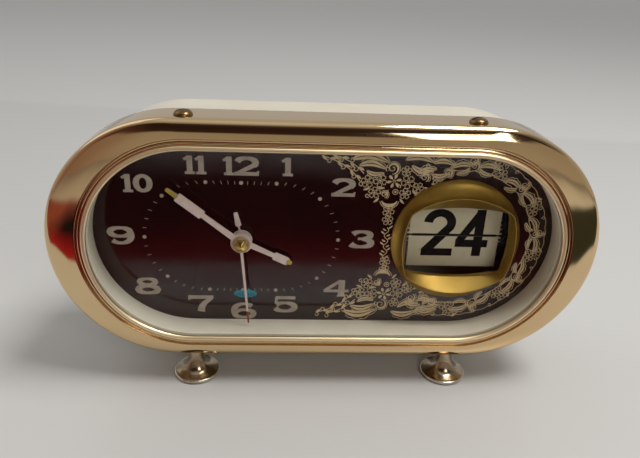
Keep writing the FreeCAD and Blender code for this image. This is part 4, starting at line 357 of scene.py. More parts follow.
@contextmanager
def editing(obj: bpy.types.Object) -> Iterator[None]:
    """Opens a mesh in edit mode with everything selected, and closes it again.

    Args:
        obj: the mesh's object.

    Returns:
        Nothing, while the mesh is open.
    """
    activate(obj)
    bpy.ops.object.mode_set(mode="EDIT")
    bpy.ops.mesh.select_all(action="SELECT")
    yield
    bpy.ops.object.mode_set(mode="OBJECT")


def pick(obj: bpy.types.Object, chosen: Callable[[int, Vector], bool]) -> None:
    """Selects vertices of the mesh in edit mode.

    Args:
        obj: the mesh in edit mode.
        chosen: says for a vertex's number and place whether it is selected.
    """
    mesh = bmesh.from_edit_mesh(obj.data)
    mesh.select_mode = {"VERT"}
    for vert in mesh.verts:
        vert.select_set(chosen(vert.index, vert.co))
    mesh.select_flush_mode()
    bmesh.update_edit_mesh(obj.data)


def cube(spot: Vector, turn: Triple, size: Triple) -> bpy.types.Object:
    """Adds a box that the caller shapes or cuts with.

    Args:
        spot: its middle, in metres.
        turn: its turn about the three axes.
        size: its sides, in millimetres.

    Returns:
        The box.
    """
    deselect()
    sides = [side * MM for side in size]
    bpy.ops.mesh.primitive_cube_add(size=1.0, location=spot, rotation=turn, scale=sides)
    bpy.ops.object.transform_apply(location=True, rotation=True, scale=True)
    return bpy.context.object


def modified(obj: bpy.types.Object, kind: str, **settings: object) -> bpy.types.Object:
    """Adds one modifier and applies it.

    Args:
        obj: the object that it shapes.
        kind: the modifier's type name.
        settings: the modifier's own options.

    Returns:
        The same object.
    """
    activate(obj)
    made = obj.modifiers.new(kind.lower(), kind)
    for name, value in settings.items():
        setattr(made, name, value)
    bpy.ops.object.modifier_apply(modifier=made.name)
    return obj


def smooth(obj: bpy.types.Object, degrees: float = SHARP) -> bpy.types.Object:
    """Shades a surface smooth up to its sharp edges.

    Args:
        obj: the object.
        degrees: edges sharper than this stay sharp.

    Returns:
        The same object.
    """
    activate(obj)
    bpy.ops.object.shade_smooth_by_angle(angle=math.radians(degrees))
    return obj


def dress(obj: bpy.types.Object, finish: Finish, name: str) -> bpy.types.Object:
    """Names an object and gives it one finish.

    Args:
        obj: the object.
        finish: its surface.
        name: its name.

    Returns:
        The same object.
    """
    obj.name = name
    obj.data.name = name
    obj.data.materials.clear()
    obj.data.materials.append(finish.material())
    return obj


def settle(obj: bpy.types.Object, body: str, nodes: Sequence[str]) -> bpy.types.Object:
    """Ties a finished piece to the CAD part.

    Args:
        obj: the piece, with its place in its mesh.
        body: the CAD body that it moves with.
        nodes: the CAD nodes that it stands for.

    Returns:
        The piece.
    """
    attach(obj, body)
    if nodes:
        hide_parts(*nodes)
    LOG.info("%s: %d faces", obj.name, len(obj.data.polygons))
    return obj


@dataclass(frozen=True)
class Station:
    """A corner of a section that is swept round the clock or turned about an axis.

    Attributes:
        radius: end radius of the racetrack, or radius of the turned piece.
        depth: distance along the axis.
        half: half length of the racetrack's straights.
        rounding: how far from the corner its rounding starts.
    """

    radius: float
    depth: float
    half: float = 0.0
    rounding: float = 0.0

    def values(self) -> Vector:
        """Returns radius, depth and half length as one vector."""
        return Vector((self.radius, self.depth, self.half))


def shares(count: int) -> list[float]:
    """Returns 0 to 1 in a number of even steps."""
    return [step / count for step in range(count + 1)]


def rounded(section: Sequence[Station], steps: int) -> list[Vector]:
    """Rounds the corners of a section.

    Args:
        section: its corners in order.
        steps: steps of a rounded corner.

    Returns:
        Vectors of radius, depth and half length.
    """
    points: list[Vector] = []
    last = len(section) - 1
    for place, station in enumerate(section):
        corner = station.values()
        if station.rounding <= 0.0 or place in (0, last):
            points.append(corner)
            continue
        start, end = (
            corner + way.normalized() * min(station.rounding, way.length * 0.49)
            for way in (section[place - 1].values() - corner, section[place + 1].values() - corner)
        )
        for share in shares(steps):
            points.append(start.lerp(corner, share).lerp(corner.lerp(end, share), share))
    return points


class Axis(Enum):
    """The line that a stack of rings is built along."""

    DEPTH = "depth"
    HEIGHT = "height"


def stack_rings(points: Sequence[Vector], origin: Vector, axis: Axis, corners: int, closed: bool,
                degrees: float = SHARP) -> bpy.types.Object:
    """Models a turned or racetrack-shaped piece: a circle is extruded from ring to ring, then drawn apart.

    Args:
        points: radius, distance along the axis and half length of the straights of each ring, in millimetres.
        origin: where the axis starts, in metres.
        axis: the line that the rings are stacked along.
        corners: corners of a ring.
        closed: True joins the last ring to the first, False closes both ends with a face.
        degrees: edges sharper than this stay sharp.

    Returns:
        The object, with outward faces.
    """
    along = Vector((0, 1, 0)) if axis is Axis.DEPTH else Vector((0, 0, 1))
    turn = (math.pi / 2, math.pi / corners, 0) if axis is Axis.DEPTH else (0, 0, math.pi / corners)
    deselect()
    bpy.ops.mesh.primitive_circle_add(vertices=corners, radius=points[0][0] * MM, rotation=turn,
                                      location=origin + along * points[0][1] * MM)
    obj = bpy.context.object
    bpy.ops.object.transform_apply(location=True, rotation=True, scale=True)
    final = corners * (len(points) - 1)
    with editing(obj):
        for before, after in zip(points, points[1:]):
            step = along * (after[1] - before[1]) * MM
            bpy.ops.mesh.extrude_edges_move(TRANSFORM_OT_translate={"value": step})
            ratio = after[0] / before[0]
            size = (ratio, 1, ratio) if axis is Axis.DEPTH else (ratio, ratio, 1)
            bpy.ops.transform.resize(value=size, center_override=origin + along * after[1] * MM)
        if closed:
            pick(obj, lambda number, _: number < corners or number >= final)
            bpy.ops.mesh.bridge_edge_loops()
        else:
            for first in (0, final):
                pick(obj, lambda number, _, low=first: low <= number < low + corners)
                bpy.ops.mesh.edge_face_add()
        for number, point in enumerate(points):
            for side in (-1, 1) if point[2] > 0.0 else ():
                pick(obj, lambda index, co, ring=number, sign=side:
                     ring * corners <= index < (ring + 1) * corners and (co.x - origin.x) * sign > 0)
                bpy.ops.transform.translate(value=(side * point[2] * MM, 0, 0))
        bpy.ops.mesh.select_all(action="SELECT")
        bpy.ops.mesh.normals_make_consistent(inside=False)
    return smooth(obj, degrees)


def node_copy(node: str, bevel: float = 0.0, degrees: float = SHARP) -> bpy.types.Object:
    """Copies a CAD node, merges its triangles and breaks its sharp edges.

    Args:
        node: the CAD node.
        bevel: width of the broken edges in millimetres, or 0 for none.
        degrees: edges sharper than this stay sharp or are broken.

    Returns:
        The copy, with its own mesh.
    """
    copy = add_object(node + "_look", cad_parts[node].data.copy())
    with editing(copy):
        bpy.ops.mesh.remove_doubles(threshold=1e-6)
        bpy.ops.mesh.dissolve_limited(angle_limit=math.radians(0.5))
    if bevel > 0.0:
        modified(copy, "BEVEL", width=bevel * MM, segments=2, limit_method="ANGLE",
                 angle_limit=math.radians(degrees))
    return smooth(copy, degrees)


# ------------------------------------------------------------------ printed strokes
@dataclass(frozen=True)
class Stroke:
    """One pen stroke of a print: places with a width at each.

    Attributes:
        points: (across, height, width) in millimetres.
        closed: True for a ring.
    """

    points: tuple[Triple, ...]
    closed: bool = False

    def moved(self, x: float, z: float, degrees: float = 0.0, flip: bool = False) -> "Stroke":
        """Returns the stroke turned counter-clockwise and moved.

        Args:
            x: distance across.
            z: height.
            degrees: turn about the stroke's own origin.
            flip: True turns it over across its own heading before the turn.

        Returns:
            The moved stroke.
        """
        cosine, sine = math.cos(math.radians(degrees)), math.sin(math.radians(degrees))
        side = -1.0 if flip else 1.0
        return Stroke(tuple(
            (x + a * cosine - b * side * sine, z + a * sine + b * side * cosine, w)
            for a, b, w in self.points
        ), self.closed)


def bar(x0: float, z0: float, x1: float, z1: float, width: float, end_width: float | None = None) -> Stroke:
    """Returns a straight stroke from one place to another."""
    return Stroke(((x0, z0, width), (x1, z1, end_width or width)))


def bow(x: float, z: float, across: float, up: float, start: float, end: float, side: float, top: float,
        steps: int = 14) -> Stroke:
    """Returns an elliptical stroke that is heavier at its sides than at its top.

    Args:
        x: middle of the ellipse.
        z: middle of the ellipse.
        across: half width of the stroke's line.
        up: half height of the stroke's line.
        start: first angle, counter-clockwise from the right.
        end: last angle; a full turn makes a ring.
        side: width where the stroke runs up or down.
        top: width where it runs across.
        steps: points of the bow.

    Returns:
        The stroke.
    """
    ring = abs(end - start) >= 360.0
    points = []
    for step in range(steps if ring else steps + 1):
        angle = math.radians(start + (end - start) * step / steps)
        share = abs(math.cos(angle)) ** 1.4
        points.append((x + across * math.cos(angle), z + up * math.sin(angle), top + (side - top) * share))
    return Stroke(tuple(points), ring)


def disc(x: float, z: float, radius: float) -> Stroke:
    """Returns a round dot."""
    spots = [(-1.0, 0.05), (-0.85, 0.53), (-0.5, 0.87), (0.0, 1.0), (0.5, 0.87), (0.85, 0.53), (1.0, 0.05)]
    return Stroke(tuple((x + radius * a, z, 2.0 * radius * w) for a, w in spots))


def printed(name: str, strokes: Iterable[Stroke], depth: float, finish: Finish,
            flat: float = 0.02) -> bpy.types.Object:
    """Lays strokes as one thin print on a face that looks to the front.

    Args:
        name: the print's name.
        strokes: the strokes, in the clock's own measures.
        depth: depth of the face that it lies on.
        finish: the ink.
        flat: height of a stroke over its width.

    Returns:
        The print as a mesh.
    """
    curve = bpy.data.curves.new(name, "CURVE")
    curve.dimensions = "3D"
    curve.bevel_depth = MM
    curve.bevel_resolution = 0
    curve.use_fill_caps = True
    for stroke in strokes:
        spline = curve.splines.new("POLY")
        spline.use_smooth = False
        spline.points.add(len(stroke.points) - 1)
        spline.use_cyclic_u = stroke.closed
        for point, (x, z, width) in zip(spline.points, stroke.points):
            point.co = (*FACE.place(x, depth, z), 1.0)
            point.radius = width / 2.0
    activate(add_object(name, curve))
    bpy.ops.object.convert(target="MESH")
    made = bpy.context.object
    with editing(made):
        bpy.ops.transform.resize(value=(1, flat, 1), center_override=FACE.place(0, depth, 0))
        bpy.ops.transform.translate(value=(0, -PRINT_LIFT * MM, 0))
    return dress(made, finish, name)


# ------------------------------------------------------------------ case
@dataclass
class CaseWork:
    """Case shell, bezel, crystal and the wall round the dial.

    Attributes:
        end: end radius of the bezel's side band.
        straight: half length of its straights.
        glass: end radius of the glass opening.
        glass_straight: half length of the opening's straights.
        body: the CAD body of the case.
    """

    end: float = 44.1
    straight: float = 50.9
    glass: float = 34.4
    glass_straight: float = 46.1
    body: str = "clock_case"

    def sweep(self, name: str, finish: Finish, node: str, section: Sequence[Station],
              steps: int, closed: bool = True, degrees: float = SHARP) -> None:
        """Sweeps a section round the racetrack and ties the piece to the case.

        Args:
            name: the piece's name.
            finish: its surface.
            node: the CAD node that it stands for.
            section: corners of the section.
            steps: steps of a rounded corner.
            closed: True for a ring, False for a plate.
            degrees: edges sharper than this stay sharp.
        """
        points = rounded(section, steps)
        swept = stack_rings(points, FACE.place(0, 0, 0), Axis.DEPTH, AROUND, closed, degrees)
        settle(dress(swept, finish, name), self.body, [node])

    def bezel(self) -> None:
        """Sweeps the pressed bezel: side band, crease, broad face, ridge, groove, inner moulding and lip."""
        e, s, g = self.end, self.straight, self.glass_straight
        self.sweep("polished_bezel", BEZEL_BRASS, "bezel", [
            Station(43.4, 16.9, s), Station(e, 16.9, s, 0.2), Station(e, 4.0, s, 1.5),
            Station(43.1, 2.75, s - 0.3, 0.9), Station(40.9, 1.45, g + 2.0, 1.6),
            Station(38.75, 0.8, g + 0.2, 0.5), Station(38.3, 0.70, g, 0.15), Station(38.0, 0.78, g, 0.12),
            Station(37.9, 1.6, g, 0.15), Station(37.35, 1.6, g, 0.15), Station(37.2, 0.85, g, 0.2),
            Station(36.75, 0.62, g, 0.25), Station(36.15, 0.8, g, 0.15), Station(36.12, 2.68, g, 0.05),
            Station(37.2, 2.68, g, 0.05), Station(37.2, 2.3, g, 0.1), Station(38.7, 2.2, g, 0.3),
            Station(43.4, 5.2, s, 1.0), Station(43.4, 16.7, s),
        ], 6)

    def crystal_ring(self) -> None:
        """Sweeps the bright bead that frames the crystal."""
        g, r = self.glass_straight, self.glass
        self.sweep("crystal_bead", RING_BRASS, "crystal_ring", [
            Station(r + 1.66, 1.2, g), Station(r + 1.66, 0.35, g, 0.35), Station(r + 1.15, 0.0, g, 0.3),
            Station(r + 0.5, 0.05, g, 0.3), Station(r, 0.55, g, 0.3), Station(r, 1.18, g),
        ], 5)

    def crystal(self) -> None:
        """Sweeps the flat crystal with a ground edge, whose faces stay flat up to that edge."""
        g, r = self.glass_straight, self.glass + 1.6
        self.sweep("flat_crystal", CRYSTAL_GLASS, "crystal", [
            Station(0.4, 1.25, g), Station(r, 1.25, g, 0.2), Station(r, 2.65, g, 0.2), Station(0.4, 2.65, g),
        ], 2, closed=False, degrees=12.0)

    def surround(self) -> None:
        """Sweeps the cream wall from the crystal to the dial."""
        g, r = self.glass_straight, self.glass
        self.sweep("dial_wall", SURROUND_PLASTIC, "dial_surround", [
            Station(37.9, 2.75, g), Station(r, 2.75, g, 0.25), Station(r + 0.05, 12.45, g + 1.0, 0.15),
            Station(39.5, 12.45, g + 4.0, 0.1), Station(39.5, 11.5, g + 4.0, 0.1),
            Station(r + 1.4, 11.4, g + 1.0, 0.4), Station(r + 1.4, 3.7, g, 0.4), Station(37.9, 3.7, g),
        ], 4)

    def shell(self) -> None:
        """Sweeps the moulded case with its rounded rear edge and the recess of the cover."""
        s = self.straight
        self.sweep("moulded_case", CREAM_PLASTIC, "case_shell", [
            Station(40.6, 6.5, s), Station(43.0, 6.5, s, 0.3), Station(43.0, 15.9, s, 2.0),
            Station(40.4, 50.0, s, 4.6), Station(33.8, 50.0, s, 0.25), Station(33.8, 48.8, s, 0.1),
            Station(29.4, 48.8, s, 0.1), Station(29.4, 47.5, s, 0.1), Station(38.0, 47.5, s, 0.5),
            Station(38.0, 13.0, s, 0.2), Station(40.6, 13.0, s, 0.2),
        ], 8)

    def build(self) -> None:
        """Builds every piece of the case."""
        for piece in (self.bezel, self.crystal_ring, self.crystal, self.surround, self.shell):
            piece()


@dataclass
class FeetAndScrews:
    """Four trumpet-shaped feet and the two screws on top of the bezel.

    Attributes:
        across: distance of a foot from the middle of the clock.
        front_depth: depth of the front feet and of the top screws.
        rear_depth: depth of the rear feet.
        height: height of a front foot below the bezel.
        rear_height: height of a rear foot below the case.
        rim: radius of the rim.
        rim_highlight: height up to which the rim takes the paler finish, a painted highlight.
        slot: length, width and depth of the cutter of a screw's slot.
        slot_turn: turn of the slots, in degrees.
        body: the CAD body of the case.
    """

    across: float = 47.4
    front_depth: float = 8.2
    rear_depth: float = 41.0
    height: float = 11.1
    rear_height: float = 14.6
    rim: float = 8.6
    rim_highlight: float = 1.5
    slot: Triple = (7.0, 0.7, 1.4)
    slot_turn: float = 18.0
    body: str = "clock_case"

    def trumpet(self, name: str, x: float, depth: float, top: float) -> bpy.types.Object:
        """Turns one foot, from the table up.

        Args:
            name: its name.
            x: its place across.
            depth: its depth.
            top: height of its stud's upper end.

        Returns:
            The foot, with its rim in a paler painted highlight.
        """
        r = self.rim
        section = [
            Station(r * 0.72, 0.0), Station(r * 0.95, 0.12, rounding=0.3), Station(r, 0.95, rounding=0.35),
            Station(r * 0.97, 1.45, rounding=0.2), Station(r * 0.86, 1.75, rounding=0.6),
            Station(4.7, 3.1, rounding=1.6), Station(2.75, 6.8, rounding=2.2), Station(2.6, top - 0.4),
            Station(2.6, top),
        ]
        base = Vector((x * MM, FACE.front + depth * MM, 0.0))
        foot = dress(stack_rings(rounded(section, 6), base, Axis.HEIGHT, TURNED, False), FOOT_NICKEL, name)
        foot.data.materials.append(FOOT_RIM_HIGHLIGHT.material())
        # Faces below this height get the paler finish: a painted highlight of the table mirrored in the rim.
        for face in foot.data.polygons:
            if face.center.z < self.rim_highlight * MM:
                face.material_index = 1
        return foot

    def feet(self) -> None:
        """Turns the four feet; the first of a pair stands for the pair's CAD node."""
        for label, depth, top in (("front", self.front_depth, self.height),
                                  ("rear", self.rear_depth, self.rear_height)):
            pair = [self.trumpet(f"{label}_foot_{side}", x, depth, top)
                    for side, x in (("left", -self.across), ("right", self.across))]
            settle(pair[0], self.body, [f"{label}_feet"])
            settle(pair[1], self.body, [])

    def screws(self) -> None:
        """Turns the two domed screws and mills their slots."""
        top = CAD_BOX[1][2] / MM - 1.8
        section = [
            Station(3.1, top - 0.3), Station(3.1, top + 0.35, rounding=0.25),
            Station(2.6, top + 1.15, rounding=0.7), Station(1.5, top + 1.65, rounding=0.5),
            Station(0.3, top + 1.78),
        ]
        for side, x in (("left", -self.across), ("right", self.across)):
            base = Vector((x * MM, FACE.front + self.front_depth * MM, 0.0))
            head = stack_rings(rounded(section, 4), base, Axis.HEIGHT, TURNED, False)
            spot = base + Vector((0, 0, (top + 1.75) * MM))
            cutter = cube(spot, (0, 0, math.radians(self.slot_turn)), self.slot)
            modified(head, "BOOLEAN", object=cutter, solver="EXACT")
            bpy.data.objects.remove(cutter)
            dress(smooth(head), SCREW_BRASS, f"top_screw_{side}")
            settle(head, self.body, ["bezel_screws"] if side == "left" else [])

    def build(self) -> None:
        """Builds the feet and the screws."""
        self.feet()
        self.screws()


# ------------------------------------------------------------------ dial print
GLYPHS: dict[str, list[Stroke]] = {
    "0": [bow(0, 0, 2.3, 2.7, 0, 360, 2.1, 1.2)],
    "1": [bar(0.3, 3.2, 0.3, -3.1, 1.9), bar(-1.4, -2.85, 2.0, -2.85, 0.95),
          bar(-1.6, 1.8, 0.15, 2.9, 1.0, 0.9)],
    "2": [bow(0, 1.25, 3.1, 1.55, 172, -38, 2.2, 1.15), bar(2.7, 0.5, -3.1, -2.55, 1.6, 1.2),
          bar(-4.1, -2.7, 4.1, -2.7, 1.3), bar(3.8, -2.55, 3.95, -1.6, 0.7)],
    "3": [bow(0.1, 1.65, 3.2, 1.35, 165, -85, 2.2, 1.05), bow(0, -1.45, 3.75, 1.5, 85, -165, 2.4, 1.1),
          bar(-1.2, 0.25, 1.4, 0.25, 1.0)],
    "4": [bar(1.5, 3.2, -4.2, -0.9, 1.25), bar(-4.7, -1.15, 4.7, -1.15, 1.15), bar(1.9, 3.45, 1.9, -3.4, 2.4),
          bar(0.3, -3.2, 3.5, -3.2, 0.7)],
    "5": [bar(-3.4, 2.85, 3.9, 2.85, 1.35), bar(-3.1, 2.9, -3.3, 0.2, 1.1),
          bow(0, -1.15, 3.7, 1.8, 148, -165, 2.4, 1.1)],
    "6": [bow(0, -1.3, 3.6, 1.65, 0, 360, 2.3, 1.05), bow(0, 0, 3.75, 2.95, 40, 200, 2.3, 1.1)],
    "7": [bar(-4.6, 2.75, 4.6, 2.75, 1.5), bar(-4.25, 2.9, -4.25, 1.4, 0.8),
          Stroke(((3.9, 2.3, 1.3), (1.6, 0.6, 1.8), (0.3, -1.2, 2.4), (-0.1, -3.45, 2.8)))],
    "8": [bow(0, 1.75, 3.0, 1.2, 0, 360, 2.0, 1.0), bow(0, -1.5, 3.65, 1.45, 0, 360, 2.3, 1.05)],
    "9": [bow(0, 1.3, 3.6, 1.65, 0, 360, 2.3, 1.05), bow(0, 0, 3.75, 2.95, 220, 380, 2.3, 1.1)],
}
BIG_GLYPHS: dict[str, list[Stroke]] = {
    "2": [bow(0, 3.95, 4.25, 3.95, 178, -32, 3.3, 3.0, 22), bar(4.15, 2.66, -4.3, -7.3, 3.3, 3.4),
          bar(-5.9, -7.85, 5.75, -7.85, 3.0)],
    "4": [bar(2.3, 9.35, 2.3, -9.3, 3.4), bar(-6.0, -4.15, 6.1, -4.15, 3.0), bar(2.1, 8.0, -4.75, -3.4, 3.0)],
    "5": [bar(-3.7, 7.85, 5.0, 7.85, 3.0), bar(-3.9, 9.0, -4.4, 0.2, 3.0),
          bow(0, -3.2, 4.3, 4.6, 140, -158, 3.3, 3.0, 22)],
}


def rolled(degrees: float, reach: float, size: float, width: float) -> Triple:
    """Returns a stroke's point on a curl that sets out across and rolls up round an eye.

    Args:
        degrees: how far it has rolled.
        reach: its distance from the eye.
        size: height of the eye above the curl's start.
        width: width of the stroke there.

    Returns:
        Across, height and width.
    """
    angle = math.radians(degrees)
    return math.sin(angle) * reach, size - math.cos(angle) * reach, width


@dataclass
class DialPrint:
    """Numerals, minute track and a teal oval printed on the dial.

    Attributes:
        hands_x: place of the hands' axis across the dial.
        hands_z: height of that axis.
        depth: depth of the dial's face.
        track_half: half length of the straights of the minute track.
        track_radius: end radius of the minute track.
        oval_x: middle of the oval.
        oval_z: its height.
        body: the CAD body of the case.
        centres: place of each numeral from the hands' axis.
        advance: widths of the digits that aren't 10 mm apart.
    """

    hands_x: float = -29.9
    hands_z: float = -0.9
    depth: float = 12.5
    track_half: float = 13.2
    track_radius: float = 20.9
    oval_x: float = -29.0
    oval_z: float = -23.4
    body: str = "clock_case"
    centres: dict[str, tuple[float, float]] = field(default_factory=lambda: {
        "12": (0.0, 26.9), "1": (15.5, 27.0), "11": (-15.5, 27.0), "2": (35.0, 20.0), "10": (-35.0, 20.0),
        "3": (42.4, 0.4), "9": (-42.4, 0.4), "4": (34.5, -19.8), "8": (-34.5, -19.8), "5": (15.5, -27.0),
        "7": (-15.5, -27.0), "6": (0.3, -29.9),
    })
    advance: dict[str, float] = field(default_factory=lambda: {"0": 7.0, "1": 3.8, "2": 8.6})

    def lay(self, name: str, strokes: list[Stroke], finish: Finish, lift: float = 0.0) -> None:
        """Prints strokes on the dial and ties them to the case."""
        settle(printed(name, strokes, self.depth - lift, finish), self.body, [])

    def numerals(self) -> None:
        """Prints the twelve numerals, each set from its left edge round its middle."""
        strokes: list[Stroke] = []
        for text, (across, up) in self.centres.items():
            widths = [self.advance.get(digit, 10.0) for digit in text]
            left = self.hands_x + across - sum(widths) / 2.0
            for digit, width in zip(text, widths):
                middle = left + width / 2.0
                strokes.extend(stroke.moved(middle, self.hands_z + up) for stroke in GLYPHS[digit])
                left += width
        self.lay("dial_numerals", strokes, NUMERAL_INK)

    def track_place(self, minute: float) -> Triple:
        """Finds a minute's place on the racetrack-shaped track.

        Args:
            minute: the minute, 0 to 60.

        Returns:
            Across, height and outward angle in degrees.
        """
        angle = math.radians(90.0 - 6.0 * minute)
        dx, dz = math.cos(angle), math.sin(angle)
        half, radius = self.track_half, self.track_radius
        reach = radius / abs(dz) if abs(dz) > 1e-6 else math.inf
        if abs(dx) * reach > half:
            inner = math.copysign(half, dx) * dx
            reach = inner + math.sqrt(max(inner * inner - half * half + radius * radius, 0.0))
        return self.hands_x + dx * reach, self.hands_z + dz * reach, math.degrees(angle)

    def track(self) -> None:
        """Prints the minute ticks and the dots of the hours."""
        strokes = []
        for minute in range(60):
            x, z, angle = self.track_place(minute)
            strokes.append(bar(-0.65, 0, 0.65, 0, 0.17).moved(x, z, angle) if minute % 5 else disc(x, z, 0.7))
        self.lay("minute_track", strokes, NUMERAL_INK)

    def oval(self) -> None:
        """Prints the teal oval with a few dark lines above the 6."""
        fill = Stroke(tuple((x, 0, width) for x, width in (
            (-4.3, 0.2), (-4.0, 1.2), (-3.2, 2.2), (-1.8, 3.1), (0, 3.5), (1.8, 3.1), (3.2, 2.2), (4.0, 1.2),
            (4.3, 0.2),
        )))
        x = self.oval_x
        self.lay("teal_oval", [fill.moved(x, self.oval_z)], TEAL_INK)
        hatch = [bar(x + 0.95 * step, -24.6, x + 1.05 * step, -23.0 - 0.02 * step * step, 0.24)
                 for step in range(-3, 4)]
        self.lay("oval_hatch", hatch, DIAL_LACQUER, 0.04)

    def build(self) -> None:
        """Prints everything that the hour dial carries."""
        self.numerals()
        self.track()
        self.oval()


@dataclass
class LaceBorder:
    """A scroll and blossom border of the printer's own pattern, drawn with fine strokes.

    Attributes:
        depth: depth of the dial's face.
        half: half length of the straights of the border's guide line.
        radius: end radius of the guide line.
        left: where the two bands end, across the dial.
        line: width of a fine line.
        middle: the column's place across the dial.
        seed: start of the pattern's small variations.
        body: the CAD body of the case.
        strokes: the strokes drawn so far.
    """

    depth: float = 12.5
    half: float = 47.4
    radius: float = 29.0
    left: float = 41.0
    line: float = 0.24
    middle: float = 21.4
    seed: int = 11
    body: str = "clock_case"
    strokes: list[Stroke] = field(default_factory=list)

    def guide(self, distance: float) -> Triple:
        """Finds a place on the guide line.

        Args:
            distance: how far along the line, from its upper left end clockwise.

        Returns:
            Across, height and heading in degrees.
        """
        straight = self.half - self.left
        arc = math.pi * self.radius
        if distance <= straight:
            return self.left + distance, self.radius, 0.0
        if distance <= straight + arc:
            turned = (distance - straight) / self.radius
            across, up = self.radius * math.sin(turned), self.radius * math.cos(turned)
            return self.half + across, up, -math.degrees(turned)
        return self.half - (distance - straight - arc), -self.radius, 180.0

    def beside(self, distance: float, out: float) -> tuple[float, float]:
        """Finds a place beside the guide line.

        Args:
            distance: how far along the line.
            out: how far to its outer side.

        Returns:
            Across and height.
        """
        x, z, heading = self.guide(distance)
        outward = math.radians(heading + 90.0)
        return x + out * math.cos(outward), z + out * math.sin(outward)

    def length(self) -> float:
        """Returns the length of the guide line."""
        return 2.0 * (self.half - self.left) + math.pi * self.radius

    def draw(self, points: Sequence[Triple], x: float, z: float, heading: float = 0.0, flip: bool = False,
             closed: bool = False) -> None:
        """Adds a stroke that was drawn about its own origin."""
        self.strokes.append(Stroke(tuple(points), closed).moved(x, z, heading, flip))

    def volute(self, x: float, z: float, heading: float, size: float, flip: bool = False) -> None:
        """Draws a scroll that rolls up round an eye, with a fine line that echoes its back.

        Args:
            x: its start across the dial.
            z: its start's height.
            heading: the way that it sets out.
            size: distance of its start from the eye.
            flip: True rolls it to the other side.
        """
        body, echo = [], []
        for number, share in enumerate(shares(24)):
            degrees, reach = 560.0 * share, size * (1.0 - 0.86 * share)
            fat = self.line + size * 0.3 * math.sin(math.pi * min(share * 1.9, 1.0)) ** 1.5
            body.append(rolled(degrees, reach, size, fat))
            if 1 <= number <= 11:
                echo.append(rolled(degrees, reach + 0.22 * size + 0.3, size, self.line * 0.85))
        self.draw(body, x, z, heading, flip)
        self.draw(echo, x, z, heading, flip)

    def leaf(self, x: float, z: float, heading: float, length: float, flip: bool = False) -> None:
        """Draws a small pointed leaf.

        Args:
            x: its root across the dial.
            z: its root's height.
            heading: the way that it grows.
            length: its length.
            flip: True bends it to the other side.
        """
        self.draw([(length * share, 0.2 * length * share ** 2,
                    0.12 + 0.3 * length * math.sin(math.pi * share) ** 0.8) for share in shares(6)],
                  x, z, heading, flip)

    def acanthus(self, x: float, z: float, heading: float, length: float, flip: bool = False) -> None:
        """Draws a long leaf with a dark vein, three lobes on its back and a curled tip.

        Args:
            x: its root across the dial.
            z: its root's height.
            heading: the way that it grows.
            length: its length.
            flip: True turns its back to the other side.
        """
        fat = length * 0.1

        def rib(share: float, part: float, more: float, width: float) -> Triple:
            """Finds a place beside the vein.

            Args:
                share: share of the leaf's length.
                part: distance from the vein, as a part of the swell.
                more: distance beyond that.
                width: width of the stroke, as a part of the swell.

            Returns:
                Along the leaf, beside it, and the width.
            """
            vein = length * (0.2 * math.sin(math.pi * share) - 0.12 * share + 0.16 * share ** 4)
            swell = math.sin(math.pi * share ** 0.75) ** 0.85
            return length * share, vein + part * fat * swell + more, 0.12 + width * fat * swell

        for side, scale in ((1.0, 1.0), (-1.0, 0.8)):
            self.draw([rib(share, side * 0.6 * scale, side * 0.12, 0.95 * scale) for share in shares(12)],
                      x, z, heading, flip)
        edge = []
        for share in (0.06 + 0.94 * part for part in shares(24)):
            lobe = 0.5 * abs(math.sin(share * math.pi * 4.0)) * fat
            across, up, _ = rib(share, 1.5, lobe + 0.3, 0.0)
            edge.append((across, up, self.line * 0.9))
        self.draw(edge, x, z, heading, flip)

    def tendril(self, x: float, z: float, heading: float, size: float, flip: bool = False) -> None:
        """Draws a fine curl that ends in a bead.

        Args:
            x: its start across the dial.
            z: its start's height.
            heading: the way that it sets out.
            size: distance of its start from its eye.
            flip: True rolls it to the other side.
        """
        points = [rolled(330.0 * share, size * (1.0 - 0.6 * share), size, self.line * (1.3 - 0.4 * share))
                  for share in shares(12)]
        points.append((points[-1][0] + 0.05, points[-1][1], self.line * 2.2))
        self.draw(points, x, z, heading, flip)

    def blossom(self, x: float, z: float, size: float, turn: float) -> None:
        """Draws five outlined petals with a notch, round an open eye.

        Args:
            x: its middle across the dial.
            z: its middle's height.
            size: length of a petal.
            turn: angle of the first petal.
        """
        outline = ((0.26, 0.0), (0.5, -0.27), (0.8, -0.38), (1.04, -0.24), (0.97, 0.0), (1.04, 0.24),
                   (0.8, 0.38), (0.5, 0.27))
        for petal in range(5):
            self.draw([(a * size, b * size, self.line) for a, b in outline], x, z, turn + 72.0 * petal,
                      closed=True)
        self.strokes.append(disc(x, z, 0.17 * size))

    def daisy(self, x: float, z: float, size: float, turn: float) -> None:
        """Draws a blossom of six filled petals.

        Args:
            x: its middle across the dial.
            z: its middle's height.
            size: length of a petal.
            turn: angle of the first petal.
        """
        profile = ((0.3, 0.06), (0.5, 0.3), (0.8, 0.42), (1.0, 0.1))
        for petal in range(6):
            self.draw([(a * size, 0.0, w * size) for a, w in profile], x, z, turn + 60.0 * petal)
        self.strokes.append(bow(x, z, 0.16 * size, 0.16 * size, 0, 360, self.line, self.line, 8))

    def cup(self, x: float, z: float, size: float, upright: bool) -> None:
        """Draws a thick crescent that holds a blossom, with a fine line under it.

        Args:
            x: its middle across the dial.
            z: its middle's height.
            size: its half width.
            upright: True opens it upwards.
        """
        points, under = [], []
        for share in shares(12):
            angle = math.radians(190.0 + 160.0 * share)
            across, up = math.cos(angle) * size, math.sin(angle) * size
            points.append((across, up * 0.8, self.line + 0.42 * size * math.sin(math.pi * share) ** 1.2))
            under.append((across * 1.25, up * 1.2, self.line))
        self.draw(points, x, z, 0.0 if upright else 180.0)
        self.draw(under, x, z, 0.0 if upright else 180.0)

